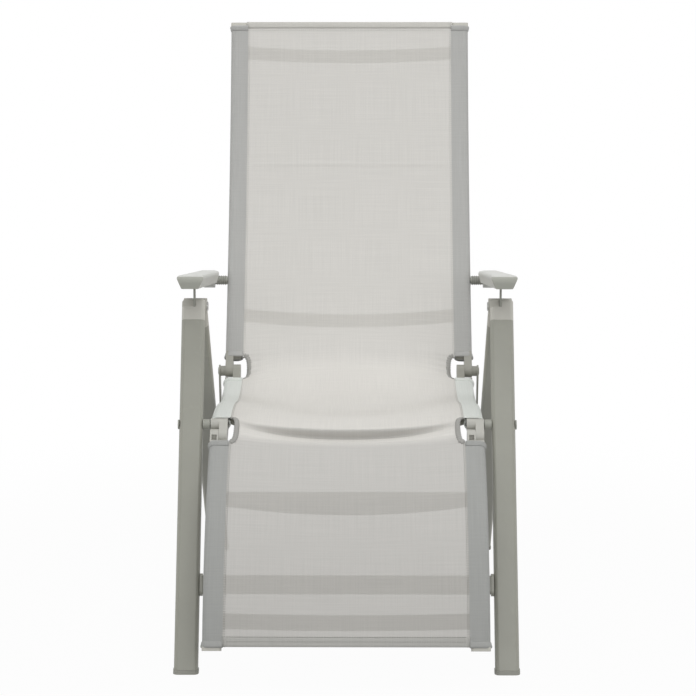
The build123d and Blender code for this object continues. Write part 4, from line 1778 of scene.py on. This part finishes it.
@dataclass(frozen=True)
class View:
    """Camera at the photograph's viewing angle.

    Args:
        place: Its place in the row frame.
        tilt: Degrees that it looks down.
        turn: Degrees that it is turned to its left.
        lens: Focal length in millimetres.
        sensor: Width of its sensor in millimetres.
    """

    place: Triple = (0.026, -4.162, 1.157)
    tilt: float = 8.9
    turn: float = 0.36
    lens: float = 115.3
    sensor: float = 36.0

    def build(self) -> None:
        """Adds the camera and makes it the scene's."""
        data = bpy.data.cameras.new("Camera")
        data.lens = self.lens
        data.sensor_width = self.sensor
        camera = bpy.data.objects.new("Camera", data)
        camera.location = self.place
        camera.rotation_euler = (math.radians(90 - self.tilt), 0, math.radians(self.turn))
        bpy.context.scene.collection.objects.link(camera)
        bpy.context.scene.camera = camera


@dataclass(frozen=True)
class Floor:
    """Pale floor that keeps a soft shadow near the chair.

    Args:
        size: Its side in metres.
        grey: Its own colour.
        roughness: Its roughness.
        fade: Distances over which it turns white.
        white: Share of it that shows as plain white near the chair.
    """

    size: float = 90.0
    grey: float = 0.45
    roughness: float = 0.9
    fade: Pair = (0.7, 1.9)
    white: float = 0.965

    def build(self) -> None:
        """Adds the floor."""
        half = self.size / 2
        corners = [(-half, -half, 0), (half, -half, 0), (half, half, 0), (-half, half, 0)]
        floor = new_object("Floor", corners, [(0, 1, 2, 3)], smooth=False)
        material = bpy.data.materials.new("Pale_Floor")
        material.use_nodes = True
        tree, nodes = Tree(material.node_tree), material.node_tree.nodes
        shader, white = nodes["Principled BSDF"], tree.add("ShaderNodeEmission", {})
        tree.feed(shader.inputs["Base Color"], (self.grey, self.grey, self.grey, 1))
        tree.feed(shader.inputs["Roughness"], self.roughness)
        place = tree.add("ShaderNodeTexCoord", {}).outputs["Object"]
        reach = tree.add("ShaderNodeVectorMath", {0: place}, operation="LENGTH").outputs["Value"]
        spread = {"Value": reach, "From Min": self.fade[0], "From Max": self.fade[1], "To Min": self.white}
        fade = tree.add("ShaderNodeMapRange", spread, interpolation_type="SMOOTHSTEP")
        share = tree.math("MULTIPLY", tree.seen(), fade.outputs["Result"])
        tree.feed(nodes["Material Output"].inputs["Surface"], tree.mix(share, shader, white))
        floor.data.materials.append(material)


@dataclass(frozen=True)
class Studio:
    """World, floor, lamps and camera.

    Args:
        ambient: Strength of the world's light on the object.
        floor: The floor.
        lamps: The lamps.
        view: The camera.
    """

    ambient: float = 0.50
    floor: Floor = Floor()
    lamps: tuple[Lamp, ...] = (
        Lamp("Overhead", (0.0, -0.35, 3.3), (0, 0, 0), 2.6, 33.0),
        Lamp("Front_Fill", (0.6, -4.4, 2.5), (68, 0, 8), 3.0, 56.0),
        Lamp("Left_Rim", (3.1, 0.1, 1.6), (76, 0, 82), 2.4, 16.0),
        Lamp("Right_Rim", (-3.1, 0.1, 1.6), (76, 0, -82), 2.4, 16.0),
    )
    view: View = View()

    def build(self) -> None:
        """Builds the whole studio."""
        self._world()
        self.floor.build()
        for lamp in self.lamps:
            lamp.build()
        self.view.build()
        bpy.context.scene.view_settings.view_transform = "Standard"

    def _world(self) -> None:
        """White world to the eye, softer light on the object."""
        world = bpy.data.worlds.new("Studio")
        world.use_nodes = True
        tree, nodes = Tree(world.node_tree), world.node_tree.nodes
        tree.feed(nodes["Background"].inputs["Color"], WHITE)
        light = tree.add("ShaderNodeBackground", {"Color": WHITE, "Strength": self.ambient})
        shown = tree.mix(tree.seen(), light, nodes["Background"])
        tree.feed(nodes["World Output"].inputs["Surface"], shown)
        bpy.context.scene.world = world


def main() -> None:
    """Builds the chair's finishes, hardware, cloth and studio in order."""
    used = {FRAME_COAT, RIB_PLASTIC, CLOTH, BINDING_CLOTH, *NODE_FINISHES}
    used |= {finish for outfit in OUTFITS.values() for finish in outfit.finishes}
    materials = {finish: finish.made() for finish in sorted(used, key=lambda f: f.name)}
    hardware = Hardware(materials)
    hardware.dress()
    hardware.build()
    StretchedCloth(materials).build()
    Studio().build()


if __name__ == "__main__":
    main()
